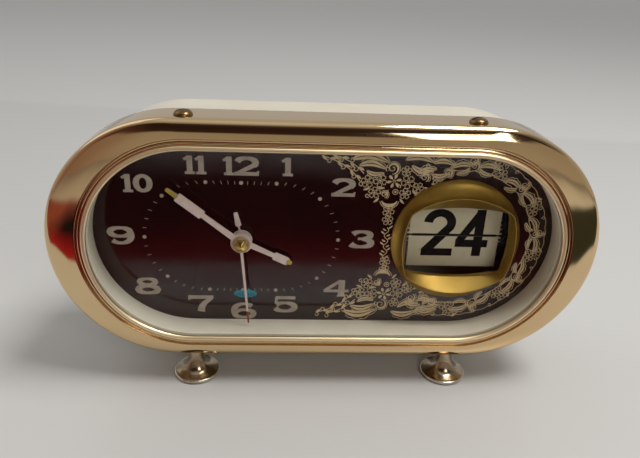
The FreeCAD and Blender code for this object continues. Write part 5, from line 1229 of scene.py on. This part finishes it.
    def beads(self, x: float, z: float, heading: float, count: int) -> None:
        """Draws a short row of beads that grow smaller.

        Args:
            x: the first bead's place across the dial.
            z: its height.
            heading: the way that the row runs.
            count: number of beads.
        """
        way = math.radians(heading)
        for number in range(count):
            gone, radius = 0.85 * number, 0.34 - 0.06 * number
            self.strokes.append(disc(x + gone * math.cos(way), z + gone * math.sin(way), radius))

    def unit(self, distance: float, size: float, kind: int, chance: random.Random) -> None:
        """Draws one repeat of the band.

        Args:
            distance: place along the guide line.
            size: scale of the repeat.
            kind: 0 for a scroll and a leaf, 1 for two blossoms, 2 for a leaf that grows back to a scroll.
            chance: source of small variations.
        """
        _, _, heading = self.guide(distance)

        def spot(along: float, out: float) -> tuple[float, float]:
            """Returns a place beside the guide line, in sizes of the repeat."""
            return self.beside(distance + along * size, out * size)

        if kind == 0:
            self.volute(*spot(0.0, -2.4), heading, 1.55 * size)
            self.acanthus(*spot(1.5, -1.0), heading - 4.0, 6.6 * size)
            self.acanthus(*spot(1.7, -1.6), heading - 16.0, 4.6 * size, True)
            self.tendril(*self.beside(distance + 0.2, 1.5 * size), heading + 180.0, 0.7 * size, True)
            self.leaf(*spot(5.4, 1.9), heading + 20.0, 2.0 * size)
        elif kind == 1:
            self.blossom(*spot(0.0, 0.95), 1.8 * size, chance.uniform(0.0, 72.0))
            self.blossom(*spot(2.7, -0.95), 1.7 * size, chance.uniform(0.0, 72.0))
            self.tendril(*spot(2.4, 1.2), heading, 0.75 * size)
            self.tendril(*spot(0.2, -1.1), heading + 180.0, 0.75 * size)
            self.beads(*spot(0.9, -2.7), heading, 2)
        else:
            self.acanthus(*spot(6.2, -0.9), heading + 190.0, 6.4 * size, True)
            self.acanthus(*spot(5.8, -1.5), heading + 204.0, 4.4 * size)
            self.volute(*spot(6.4, 2.3), heading, 1.5 * size, True)
            self.tendril(*spot(1.8, 1.6), heading + 180.0, 0.7 * size, True)
            self.beads(*self.beside(distance + 1.2, -2.6 * size), heading + 180.0, 3)

    def band(self) -> None:
        """Draws the border from one corner round the end of the dial to the other."""
        chance = random.Random(self.seed)
        whole, steps = self.length(), (6.9, 4.6, 7.3)
        distance, kind = 0.6, 2
        while distance < whole - 2.0:
            size = 1.0 + 0.14 * (abs(distance / whole - 0.5) * 2.0)
            self.unit(distance, size, kind, chance)
            distance += steps[kind] * size
            kind = (kind + 1) % 3
        count = int(whole / 0.7)
        for side in (-1.0, 1.0):
            self.strokes.append(Stroke(tuple(
                (*self.beside(whole * step / count, side * (2.55 + 0.4 * abs(math.sin(step * 0.55 + side)))),
                 self.line * 0.9)
                for step in range(count + 1)
            )))

    def vine(self, places: Sequence[tuple[float, float]], leaves: float) -> None:
        """Draws a fine stem with small leaves and curls on both sides.

        Args:
            places: places of the stem.
            leaves: length of its leaves.
        """
        self.strokes.append(Stroke(tuple((x, z, self.line * 1.3) for x, z in places)))
        for number, (before, after) in enumerate(zip(places, places[1:])):
            heading = math.degrees(math.atan2(after[1] - before[1], after[0] - before[0]))
            left = number % 2 == 1
            self.leaf(*before, heading + (30.0 if left else -30.0), leaves * 1.1, left)
            self.tendril(*before, heading, leaves * 0.42, left)

    def corner(self, upper: bool) -> None:
        """Draws the spray where the band meets the column.

        Args:
            upper: True for the upper corner; the lower spray is the mirror of an upper one.
        """
        chance = random.Random(self.seed + (2 if upper else 5))
        kept, self.strokes = self.strokes, []
        self.vine(((-2.7, 30.4), (0.0, 29.5), (2.6, 28.5), (5.0, 27.2), (7.2, 25.6), (9.0, 23.8),
                   (10.6, 21.6)), 2.1)
        self.vine(((1.0, 30.8), (4.0, 29.9), (7.0, 28.5), (9.6, 26.6), (11.8, 24.4)), 2.3)
        for place in ((7.6, 29.4, -6.0, 12.8), (10.0, 27.2, -8.0, 9.6), (12.6, 25.4, -4.0, 6.2, True),
                      (25.6, 29.6, -6.0, 10.4), (28.0, 27.6, -10.0, 8.0, True), (35.4, 28.6, -6.0, 7.6),
                      (30.4, 24.6, 14.0, 6.6), (35.0, 24.6, 8.0, 6.6, True)):
            self.acanthus(*place)
        for place in ((21.6, 24.3, 0.0, 2.2), (33.4, 21.9, 20.0, 1.6), (19.6, 15.6, 10.0, 1.3),
                      (40.8, 23.6, 0.0, 1.6)):
            self.volute(*place)
        for place in ((13.2, 21.5, 2.1), (17.6, 21.9, 2.2), (27.3, 21.6, 2.3), (31.0, 19.6, 1.8),
                      (15.9, 17.5, 2.0), (26.6, 17.3, 1.9), (37.4, 22.6, 1.7), (26.4, 25.6, 1.7)):
            self.blossom(*place, chance.uniform(0.0, 72.0))
        self.daisy(22.4, 21.9, 2.6, 12.0)
        self.strokes.append(bow(23.2, 17.9, 0.95, 0.95, 0, 360, self.line, self.line, 10))
        self.strokes.append(disc(23.2, 17.9, 0.4))
        for place in ((14.2, 19.4, 215.0, 2.4), (29.0, 18.6, -50.0, 2.6), (33.0, 19.8, -30.0, 2.8),
                      (19.4, 19.3, 190.0, 2.6), (25.0, 15.4, -60.0, 2.4), (17.6, 15.6, 235.0, 2.4),
                      (20.6, 18.6, 260.0, 2.2), (35.4, 21.2, -20.0, 2.4)):
            self.leaf(*place, flip=place[2] > 180.0)
        for place in ((11.4, 19.9, 200.0, 0.9, True), (14.0, 15.8, 220.0, 0.8, True),
                      (30.0, 16.8, -40.0, 0.9), (24.6, 19.4, 40.0, 0.8), (19.6, 25.4, 150.0, 0.9, True),
                      (33.6, 26.8, 10.0, 0.9)):
            self.tendril(*place)
        if not upper:
            self.strokes = [
                Stroke(tuple((x, -z - 0.9, width) for x, z, width in stroke.points), stroke.closed)
                for stroke in self.strokes
            ]
        self.strokes = kept + self.strokes

    def column(self) -> None:
        """Draws the narrow chain of blossoms between the two corners."""
        x = self.middle
        self.cup(x, 14.9, 2.7, True)
        self.cup(x, -15.6, 2.7, False)
        for height, size in ((10.6, 1.95), (7.2, 1.85), (-9.2, 1.85), (-12.4, 1.75)):
            self.blossom(x + (0.0 if height > 0 else 0.3), height, size, 18.0 + height * 11.0)
        for number in range(6):
            height = 4.4 - 2.15 * number
            side = 1.0 if number % 2 == 0 else -1.0
            self.strokes.append(Stroke(tuple(
                (x + side * 0.75 * math.sin(math.pi * share), height - 2.2 * share, self.line)
                for share in shares(6)
            )))
            self.leaf(x + side * 0.6, height - 0.4, 90.0 - side * 62.0, 1.7, side < 0)
            self.leaf(x - side * 0.1, height - 1.3, 90.0 + side * 70.0, 1.5, side > 0)

    def build(self) -> None:
        """Prints the border."""
        self.band()
        self.corner(True)
        self.corner(False)
        self.column()
        settle(printed("lace_border", self.strokes, self.depth, LACE_INK), self.body, [])


# ------------------------------------------------------------------ hands
@dataclass
class Hands:
    """The four hands and the cap of the seconds hand.

    Attributes:
        hands_x: place of the axis across the dial.
        hands_z: height of the axis.
        minute: angle of the minute hand, in degrees clockwise from 12.
        hour: angle of the hour hand.
        seconds: angle of the seconds hand.
        thick: thickness of a hand's block.
    """

    hands_x: float = -29.9
    hands_z: float = -0.9
    minute: float = 308.5
    hour: float = 115.7
    seconds: float = 175.8
    thick: float = 0.48

    def lume(self, name: str, angle: float, start: float, end: float, wide: float, depth: float,
             finish: Finish) -> bpy.types.Object:
        """Lays a paint strip on a hand.

        Args:
            name: the strip's name.
            angle: the hand's angle clockwise from 12.
            start: distance of its inner end from the axis.
            end: distance of its outer end.
            wide: its width.
            depth: depth of the hand's face.
            finish: the paint.

        Returns:
            The strip.
        """
        strip = Stroke(((0, start, wide), (0, (start + end) / 2.0, wide * 0.9), (0, end - 0.3, wide * 0.8),
                        (0, end, wide * 0.5)))
        return printed(name, [strip.moved(self.hands_x, self.hands_z, -angle)], depth, finish, flat=0.12)

    def block(self, name: str, angle: float, start: float, end: float, wide: float,
              depth: float) -> bpy.types.Object:
        """Cuts the flat rectangular block of a hand.

        Args:
            name: the block's name.
            angle: the hand's angle clockwise from 12.
            start: distance of its inner end from the axis.
            end: distance of its outer end.
            wide: its width.
            depth: depth of its face.

        Returns:
            The block.
        """
        turn = math.radians(angle)
        middle = FACE.place(self.hands_x, depth + self.thick / 2.0, self.hands_z)
        spot = middle + Matrix.Rotation(turn, 4, "Y") @ Vector((0, 0, (start + end) / 2.0 * MM))
        plate = modified(cube(spot, (0, turn, 0), (wide, self.thick, end - start)), "BEVEL",
                         width=0.05 * MM, segments=2)
        return dress(smooth(plate, 30.0), HAND_ENAMEL, name)

    def slim(self, blade: bpy.types.Object, angle: float, start: float, share: float) -> None:
        """Brings a hand to a share of its width beyond a distance from the axis.

        Args:
            blade: the hand.
            angle: its angle clockwise from 12.
            start: the distance from the axis.
            share: the share of its width.
        """
        along = Vector((math.sin(math.radians(angle)), 0, math.cos(math.radians(angle))))
        middle = FACE.place(self.hands_x, 0, self.hands_z)
        for vert in blade.data.vertices:
            gone = (vert.co - middle).dot(along)
            if gone > start * MM:
                aside = (vert.co - middle) - along * gone
                aside.y = 0.0
                vert.co -= aside * (1.0 - share)

    def blades(self) -> None:
        """Dresses the hands' blades and brings the two long ones to the width of their parts."""
        parts = {"minute_hand": (self.minute, 16.4, 27.1), "hour_hand": (self.hour, 12.4, 18.1)}
        for node, body, slot in (
            ("minute_hand", "minute_work", "hand_pale"), ("hour_hand", "hour_work", "hand_pale"),
            ("alarm_hand", "alarm_work", "hand_pale"), ("second_hand", "seconds_work", "hand_red"),
        ):
            blade = dress(node_copy(node, 0.03), HAND_ENAMEL, node + "_blade")
            if node in parts:
                angle, inner, outer = parts[node]
                for start, share in ((4.0, 0.84), (inner, 1.04), (outer, 1.02)):
                    self.slim(blade, angle, start, share)
            settle(blade, body, [node])

    def boss_ring(self) -> None:
        """Turns the pale brass ring round the cap of the seconds hand."""
        section = [Station(2.3, 7.2), Station(2.3, 6.8, rounding=0.05), Station(2.95, 6.8, rounding=0.2),
                   Station(3.1, 7.0, rounding=0.1), Station(3.1, 7.2)]
        middle = FACE.place(self.hands_x, 0, self.hands_z)
        ring = stack_rings(rounded(section, 3), middle, Axis.DEPTH, TURNED, True)
        settle(dress(ring, BOSS_BRASS, "boss_ring"), "seconds_work", [])

    def build(self) -> None:
        """Builds the hands with their paint."""
        self.blades()
        for name, body, plate in (("minute_block", "minute_work", (self.minute, 16.7, 27.1, 3.34, 8.25)),
                                  ("hour_block", "hour_work", (self.hour, 12.7, 17.8, 3.1, 9.95))):
            settle(self.block(name, *plate), body, [])
        for name, body, slot, strip in (
            ("minute_lume", "minute_work", "hand_pale", (self.minute, 27.0, 31.6, 1.66, 8.3, LUME_PAINT)),
            ("hour_lume", "hour_work", "hand_pale", (self.hour, 17.7, 19.7, 1.75, 10.0, LUME_PAINT)),
            ("second_tip", "seconds_work", "hand_red", (self.seconds, 26.8, 31.7, 0.75, 6.9, RED_ENAMEL)),
        ):
            settle(self.lume(name, *strip), body, [])
        self.boss_ring()
        cap = dress(node_copy("second_hand_cap", 0.08, 20.0), CAP_BRASS, "second_cap")
        settle(cap, "seconds_work", ["second_hand_cap"])


# ------------------------------------------------------------------ calendar
@dataclass(frozen=True)
class Barrel:
    """An outline of four shallow arcs that meet in four corners.

    Attributes:
        wide: half width in the middle.
        high: half height in the middle.
        corner_x: distance of a corner across.
        corner_z: height of a corner.
    """

    wide: float
    high: float
    corner_x: float
    corner_z: float

    def reach(self, across: float, up: float) -> float:
        """Returns the distance of the outline in a direction.

        Args:
            across: the direction's part across, of a unit vector.
            up: its part upwards.

        Returns:
            The distance from the middle.
        """
        found = []
        square = self.corner_x ** 2 + self.corner_z ** 2
        for apex, corner, along, aside in ((self.high, self.corner_z, abs(up), abs(across)),
                                           (self.wide, self.corner_x, abs(across), abs(up))):
            middle = (apex ** 2 - square) / (2.0 * (apex - corner))
            radius = apex - middle
            found.append(middle * along + math.sqrt(max(radius ** 2 - (middle * aside) ** 2, 0.0)))
        return min(found)


@dataclass
class Calendar:
    """Brass frame and the printed leaves of the flip calendar.

    Attributes:
        centre_x: middle of the frame across the dial.
        centre_z: height of the frame's middle.
        rim: radius of the round flange.
        crest: outline of the frame's foremost edge.
        window: outline of its opening.
        leaf_x: middle of the leaves across the dial.
        split: height of the gap between the two shown leaves.
        leaf_depth: depth of the leaves' faces.
        left_digit: place of the left digit from the leaves' middle.
        right_digit: place of the right digit.
        digit_z: height of the digits' middle above the gap.
        edge: height of a leaf's printed edge above or below the gap.
        gap_shade_line: height of the middle of the dark line along that edge, painted shade of the gap
            between the leaves.
        shown: the date that is shown.
        following: the date that the next leaves carry.
        drum_depth: depth of the drum's axis.
        hinge_depth: depth of the hinge of the standing leaf.
        hinge_z: height of that hinge.
        day_step: turn of the drum for one day, in degrees.
    """

    centre_x: float = 46.5
    centre_z: float = -0.2
    rim: float = 23.3
    crest: Barrel = Barrel(20.2, 18.5, 18.0, 12.2)
    window: Barrel = Barrel(18.6, 13.5, 17.4, 11.7)
    leaf_x: float = 47.3
    split: float = -0.2
    leaf_depth: float = 16.96
    left_digit: float = -5.8
    right_digit: float = 6.75
    digit_z: float = 0.85
    edge: float = 0.32
    gap_shade_line: float = 0.41
    shown: str = "24"
    following: str = "25"
    drum_depth: float = 25.0
    hinge_depth: float = 17.041
    hinge_z: float = 0.609
    day_step: float = 360.0 / 31.0

    def frame(self) -> None:
        """Spins the round frame, then draws its rings out to the barrel outlines of crest and window."""
        corners = 256
        rings: list[tuple[Barrel | None, float, float, float]] = [
            *((None, growth, depth, 0.0) for growth, depth in (
                (0.0, 12.48), (0.0, 11.95), (-0.12, 11.65), (-0.4, 11.45),
            )),
            *((self.crest, *ring) for ring in (
                (0.0, 10.98, 0.12), (0.0, 10.5, 0.26), (0.0, 10.05, 0.4), (0.0, 9.55, 0.54), (0.0, 8.9, 0.69),
                (0.0, 8.0, 0.84), (0.0, 7.15, 0.95), (0.08, 6.7, 1.0), (0.0, 6.38, 1.0), (-0.14, 6.24, 1.0),
                (-0.32, 6.3, 1.0), (-0.46, 6.5, 1.0),
            )),
            *((self.window, growth, depth, 1.0) for growth, depth in (
                (0.25, 9.85), (0.06, 10.1), (0.0, 10.35), (0.0, 10.9), (0.35, 12.48),
            )),
        ]
        origin = FACE.place(self.centre_x, 0, self.centre_z)
        points = [Vector((self.rim, depth, 0.0)) for _, _, depth, _ in rings]
        shape = stack_rings(points, origin, Axis.DEPTH, corners, True)
        with editing(shape):
            for vert in bmesh.from_edit_mesh(shape.data).verts:
                outline, growth, _, share = rings[vert.index // corners]
                way = Vector((vert.co.x - origin.x, 0, vert.co.z - origin.z)).normalized()
                reach = self.rim
                if outline:
                    reach += (outline.reach(way.x, way.z) - self.rim) * share
                vert.co = Vector((origin.x, vert.co.y, origin.z)) + way * (reach + growth) * MM
            bmesh.update_edit_mesh(shape.data)
            bpy.ops.mesh.normals_make_consistent(inside=False)
        shape = dress(smooth(shape, 40.0), FRAME_BRASS, "calendar_frame")
        settle(shape, "clock_case", ["date_frame"])

    def half_number(self, name: str, text: str, upper: bool) -> bpy.types.Object:
        """Prints one half of a two-digit date, with a dark line at the split that paints the shade of the
        gap.

        Args:
            name: the print's name.
            text: the two digits.
            upper: True keeps the half above the split.

        Returns:
            The print.
        """
        side = 1.0 if upper else -1.0
        line = self.split + side * self.gap_shade_line
        strokes = [stroke.moved(self.leaf_x + x, self.split + self.digit_z)
                   for digit, x in zip(text, (self.left_digit, self.right_digit))
                   for stroke in BIG_GLYPHS[digit]]
        # Dark ink along the leaf's edge at the split: painted shade of the gap between the two leaves.
        strokes.append(bar(self.leaf_x - 15.6, line, self.leaf_x + 15.6, line, 0.18))
        number = printed(name, strokes, self.leaf_depth, LEAF_INK, flat=0.01)
        with editing(number):
            bpy.ops.mesh.bisect(plane_co=FACE.place(0, 0, self.split + side * self.edge), plane_no=(0, 0, 1),
                                clear_inner=upper, clear_outer=not upper, use_fill=True)
        return number

    def dates(self) -> None:
        """Prints the shown date on its two leaves and the next one on the two faces that follow it.

        Each print is made where the shown leaves are, then turned about lines that run across the clock: by
        one day's step of the drum, and for a leaf that still stands, by its fall about its hinge.
        """
        step = (-self.day_step, self.drum_depth, self.centre_z)
        fall = (self.day_step - 180.0, self.hinge_depth, self.hinge_z)
        for name, text, upper, body, turns in (
            ("date_upper_half", self.shown, True, "falling_leaf", ()),
            ("date_lower_half", self.shown, False, "date_drum_work", ()),
            ("next_upper_half", self.following, True, "date_drum_work", (step,)),
            ("next_lower_half", self.following, False, "falling_leaf", (step, fall)),
        ):
            number = self.half_number(name, text, upper)
            for degrees, depth, z in turns:
                middle = Matrix.Translation(FACE.place(0, depth, z))
                turn = Matrix.Rotation(math.radians(degrees), 4, "X")
                number.data.transform(middle @ turn @ middle.inverted())
            settle(number, body, [])

    def build(self) -> None:
        """Builds the calendar."""
        self.frame()
        self.dates()


# ------------------------------------------------------------------ rear of the clock
class RearWork:
    """Keys, knobs and buttons behind the clock."""

    def build(self) -> None:
        """Dresses each of them, with broken edges on the keys and knobs."""
        for node, body, finish, bevel in (
            ("time_winding_key", "time_winding", KEY_BRASS, 0.3),
            ("alarm_winding_key", "alarm_winding", KEY_BRASS, 0.3),
            ("time_set_knob", "time_setting", KNOB_BRASS, 0.15),
            ("alarm_set_knob", "alarm_setting", KNOB_BRASS, 0.15),
            ("alarm_stop_button", "alarm_stop", KNOB_BRASS, 0.0),
            ("date_push_rod", "date_push", KNOB_BRASS, 0.0),
        ):
            settle(dress(node_copy(node, bevel), finish, node + "_look"), body, [node])


def dress_cad_nodes() -> None:
    """Gives every CAD node that stays in view its finish."""
    for finish, nodes in CAD_FINISHES.items():
        for node in nodes:
            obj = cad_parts[node]
            obj.data.materials.clear()
            obj.data.materials.append(finish.material())
            smooth(obj, 25.0)
            LOG.info("%s: %s", node, finish.name)


# ------------------------------------------------------------------ studio
@dataclass
class Studio:
    """Table, light, camera and a card that paints reflections.

    Attributes:
        eye: the camera's place across, depth and height in the clock's own measures.
        right: the camera's right-hand direction.
        up: its upward direction.
        forward: the direction that it looks in.
        lens: focal length in millimetres, for a 36 mm wide sensor.
        table_edge: how far back the table grows paler, in metres.
        card_front: front edge of the card that paints reflections, in metres.
        card_rear: its rear edge.
    """

    eye: Triple = (-13.774, -180.941, 90.919)
    right: Triple = (0.99841, -0.04138, 0.03828)
    up: Triple = (-0.01777, 0.41339, 0.91038)
    forward: Triple = (0.05350, 0.90961, -0.41199)
    lens: float = 33.786
    table_edge: float = 0.36
    card_front: float = -0.3
    card_rear: float = -0.098

    def camera(self) -> None:
        """Sets up the camera."""
        data = bpy.data.cameras.new("camera")
        data.lens = self.lens
        data.sensor_width = 36.0
        data.clip_start = 0.01
        obj = add_object("camera", data)
        turn = Matrix((self.right, self.up, [-value for value in self.forward])).transposed()
        obj.matrix_world = Matrix.Translation(FACE.place(*self.eye)) @ turn.to_4x4()
        bpy.context.scene.camera = obj

    def table(self) -> None:
        """Lays the glossy white table, a little darker near the clock than far behind it."""
        deselect()
        bpy.ops.mesh.primitive_plane_add(size=8.0, location=(0, 0, -0.0001))
        top = bpy.context.object
        top.name = "table_top"
        made, where = started_material("white_table", {"Roughness": 0.3})
        tree = made.node_tree
        parts = add_node(tree, "ShaderNodeSeparateXYZ", {"Vector": where})
        slant = add_node(tree, "ShaderNodeMath", {0: parts.outputs["X"], 1: 0.16, 2: parts.outputs["Y"]},
                         operation="MULTIPLY_ADD")
        far = add_node(tree, "ShaderNodeMapRange", {
            "Value": slant.outputs[0], "From Min": self.table_edge, "From Max": self.table_edge + 0.012,
        })
        colour = add_node(tree, "ShaderNodeMix", data_type="RGBA", inputs={
            SHARE: far.outputs[0], FROM: linear("#C3C3C1"), TO: linear("#CACAC9"),
        })
        tree.links.new(colour.outputs[MIXED], tree.nodes["Principled BSDF"].inputs["Base Color"])
        top.data.materials.append(made)

    def light(self, name: str, place: Triple, size: float, power: float, tint: str) -> None:
        """Hangs a soft square lamp that looks at the clock.

        Args:
            name: its name.
            place: where it hangs, in metres.
            size: its side, in metres.
            power: its power in watts.
            tint: its colour, an sRGB hex value.
        """
        data = bpy.data.lights.new(name, "AREA")
        data.size = size
        data.energy = power
        data.color = linear(tint)[:3]
        obj = add_object(name, data)
        obj.location = place
        obj.rotation_euler = (Vector((0, 0, 0.05)) - Vector(place)).to_track_quat("-Z", "Y").to_euler()

    def painted_reflection_card(self) -> None:
        """Lays a card on the table in front that only polished surfaces see, to calm the crystal: painted
        reflections, near black with a red band and warm and olive sides.
        """
        deselect()
        middle = (self.card_front + self.card_rear) / 2.0
        bpy.ops.mesh.primitive_plane_add(size=1.0, location=(0, middle, 0.0012))
        bpy.ops.transform.resize(value=(1.6, self.card_rear - self.card_front, 1.0))
        bpy.ops.object.transform_apply(location=True, rotation=False, scale=True)
        card = bpy.context.object
        card.name = "painted_reflection_card"
        for ray in ("camera", "diffuse", "transmission", "volume_scatter", "shadow"):
            setattr(card, f"visible_{ray}", False)
        made, where = started_material("painted_reflection_card", {"Roughness": 0.9, "Specular IOR Level": 0.1})
        tree = made.node_tree
        parts = add_node(tree, "ShaderNodeSeparateXYZ", {"Vector": where}).outputs
        # Painted reflection colours: near black, a red band towards the front, warm on the left, olive on the
        # right.
        tint: bpy.types.NodeSocket | tuple[float, ...] = linear("#0A0506")
        for axis, start, end, code in (("Y", -0.155, -0.11, "#8E161B"), ("X", -0.2, -0.27, "#8E4A3E"),
                                       ("X", 0.1, 0.15, "#2A2B1F")):
            gone = add_node(tree, "ShaderNodeMapRange", {
                "Value": parts[axis], "From Min": start, "From Max": end,
            }).outputs[0]
            tint = add_node(tree, "ShaderNodeMix", data_type="RGBA", inputs={
                SHARE: gone, FROM: tint, TO: linear(code),
            }).outputs[MIXED]
        front, rear = (
            add_node(tree, "ShaderNodeMapRange", {
                "Value": parts["Y"], "From Min": edge, "From Max": edge + fade,
            }).outputs[0]
            for edge, fade in ((self.card_front, 0.055), (self.card_rear, -0.006))
        )
        cover = add_node(tree, "ShaderNodeMath", {0: front, 1: rear}, operation="MULTIPLY")
        shader = tree.nodes["Principled BSDF"]
        tree.links.new(tint, shader.inputs["Base Color"])
        tree.links.new(cover.outputs[0], shader.inputs["Alpha"])
        card.data.materials.append(made)

    def world(self) -> None:
        """Gives the room a soft grey, with a dim wall in front that has a dark band at eye level."""
        world = bpy.data.worlds.new("room")
        bpy.context.scene.world = world
        world.use_nodes = True
        tree = world.node_tree
        where = add_node(tree, "ShaderNodeTexCoord").outputs["Generated"]
        parts = add_node(tree, "ShaderNodeSeparateXYZ", {"Vector": where}).outputs
        behind = add_node(tree, "ShaderNodeMapRange", {
            "Value": parts["Y"], "From Min": -0.55, "From Max": 0.3,
        })
        bands = add_node(tree, "ShaderNodeValToRGB", {"Fac": parts["Z"]})
        bands.color_ramp.interpolation = "EASE"
        stops = bands.color_ramp.elements
        stops[0].position, stops[0].color = 0.0, linear("#A59C90")
        stops[1].position, stops[1].color = 1.0, linear("#D8D6D2")
        for place, code in ((0.34, "#9A9184"), (0.44, "#33231E"), (0.70, "#2B1D1A"), (0.84, "#9A9288")):
            stops.new(place).color = linear(code)
        side = add_node(tree, "ShaderNodeMapRange", {
            "Value": parts["X"], "From Min": -0.35, "From Max": -0.8, "To Max": 0.75,
        })
        warm = add_node(tree, "ShaderNodeMix", data_type="RGBA", inputs={
            SHARE: side.outputs[0], FROM: bands.outputs["Color"], TO: linear("#7A4A3C"),
        })
        colour = add_node(tree, "ShaderNodeMix", data_type="RGBA", inputs={
            SHARE: behind.outputs[0], FROM: warm.outputs[MIXED], TO: linear("#B4B3B2"),
        })
        tree.links.new(colour.outputs[MIXED], tree.nodes["Background"].inputs["Color"])
        tree.nodes["Background"].inputs["Strength"].default_value = 1.0

    def build(self) -> None:
        """Builds the studio."""
        self.camera()
        self.table()
        self.painted_reflection_card()
        self.light("window", (0.42, -0.12, 1.05), 0.4, 8.9, "#FFFDFA")
        self.light("front_fill", (0.4, -0.85, 0.62), 0.35, 1.7, "#FFFDFA")
        self.light("room_fill", (-0.8, 0.3, 0.9), 0.9, 1.6, "#F6F5F4")
        self.world()


def main() -> None:
    """Builds the clock and its studio in order."""
    logging.basicConfig(level=logging.INFO, format="%(message)s")
    bpy.context.scene.view_settings.view_transform = "Standard"
    dress_cad_nodes()
    for work in (CaseWork, FeetAndScrews, DialPrint, LaceBorder, Hands, Calendar, RearWork, Studio):
        work().build()
    deselect()


if __name__ == "__main__":
    main()
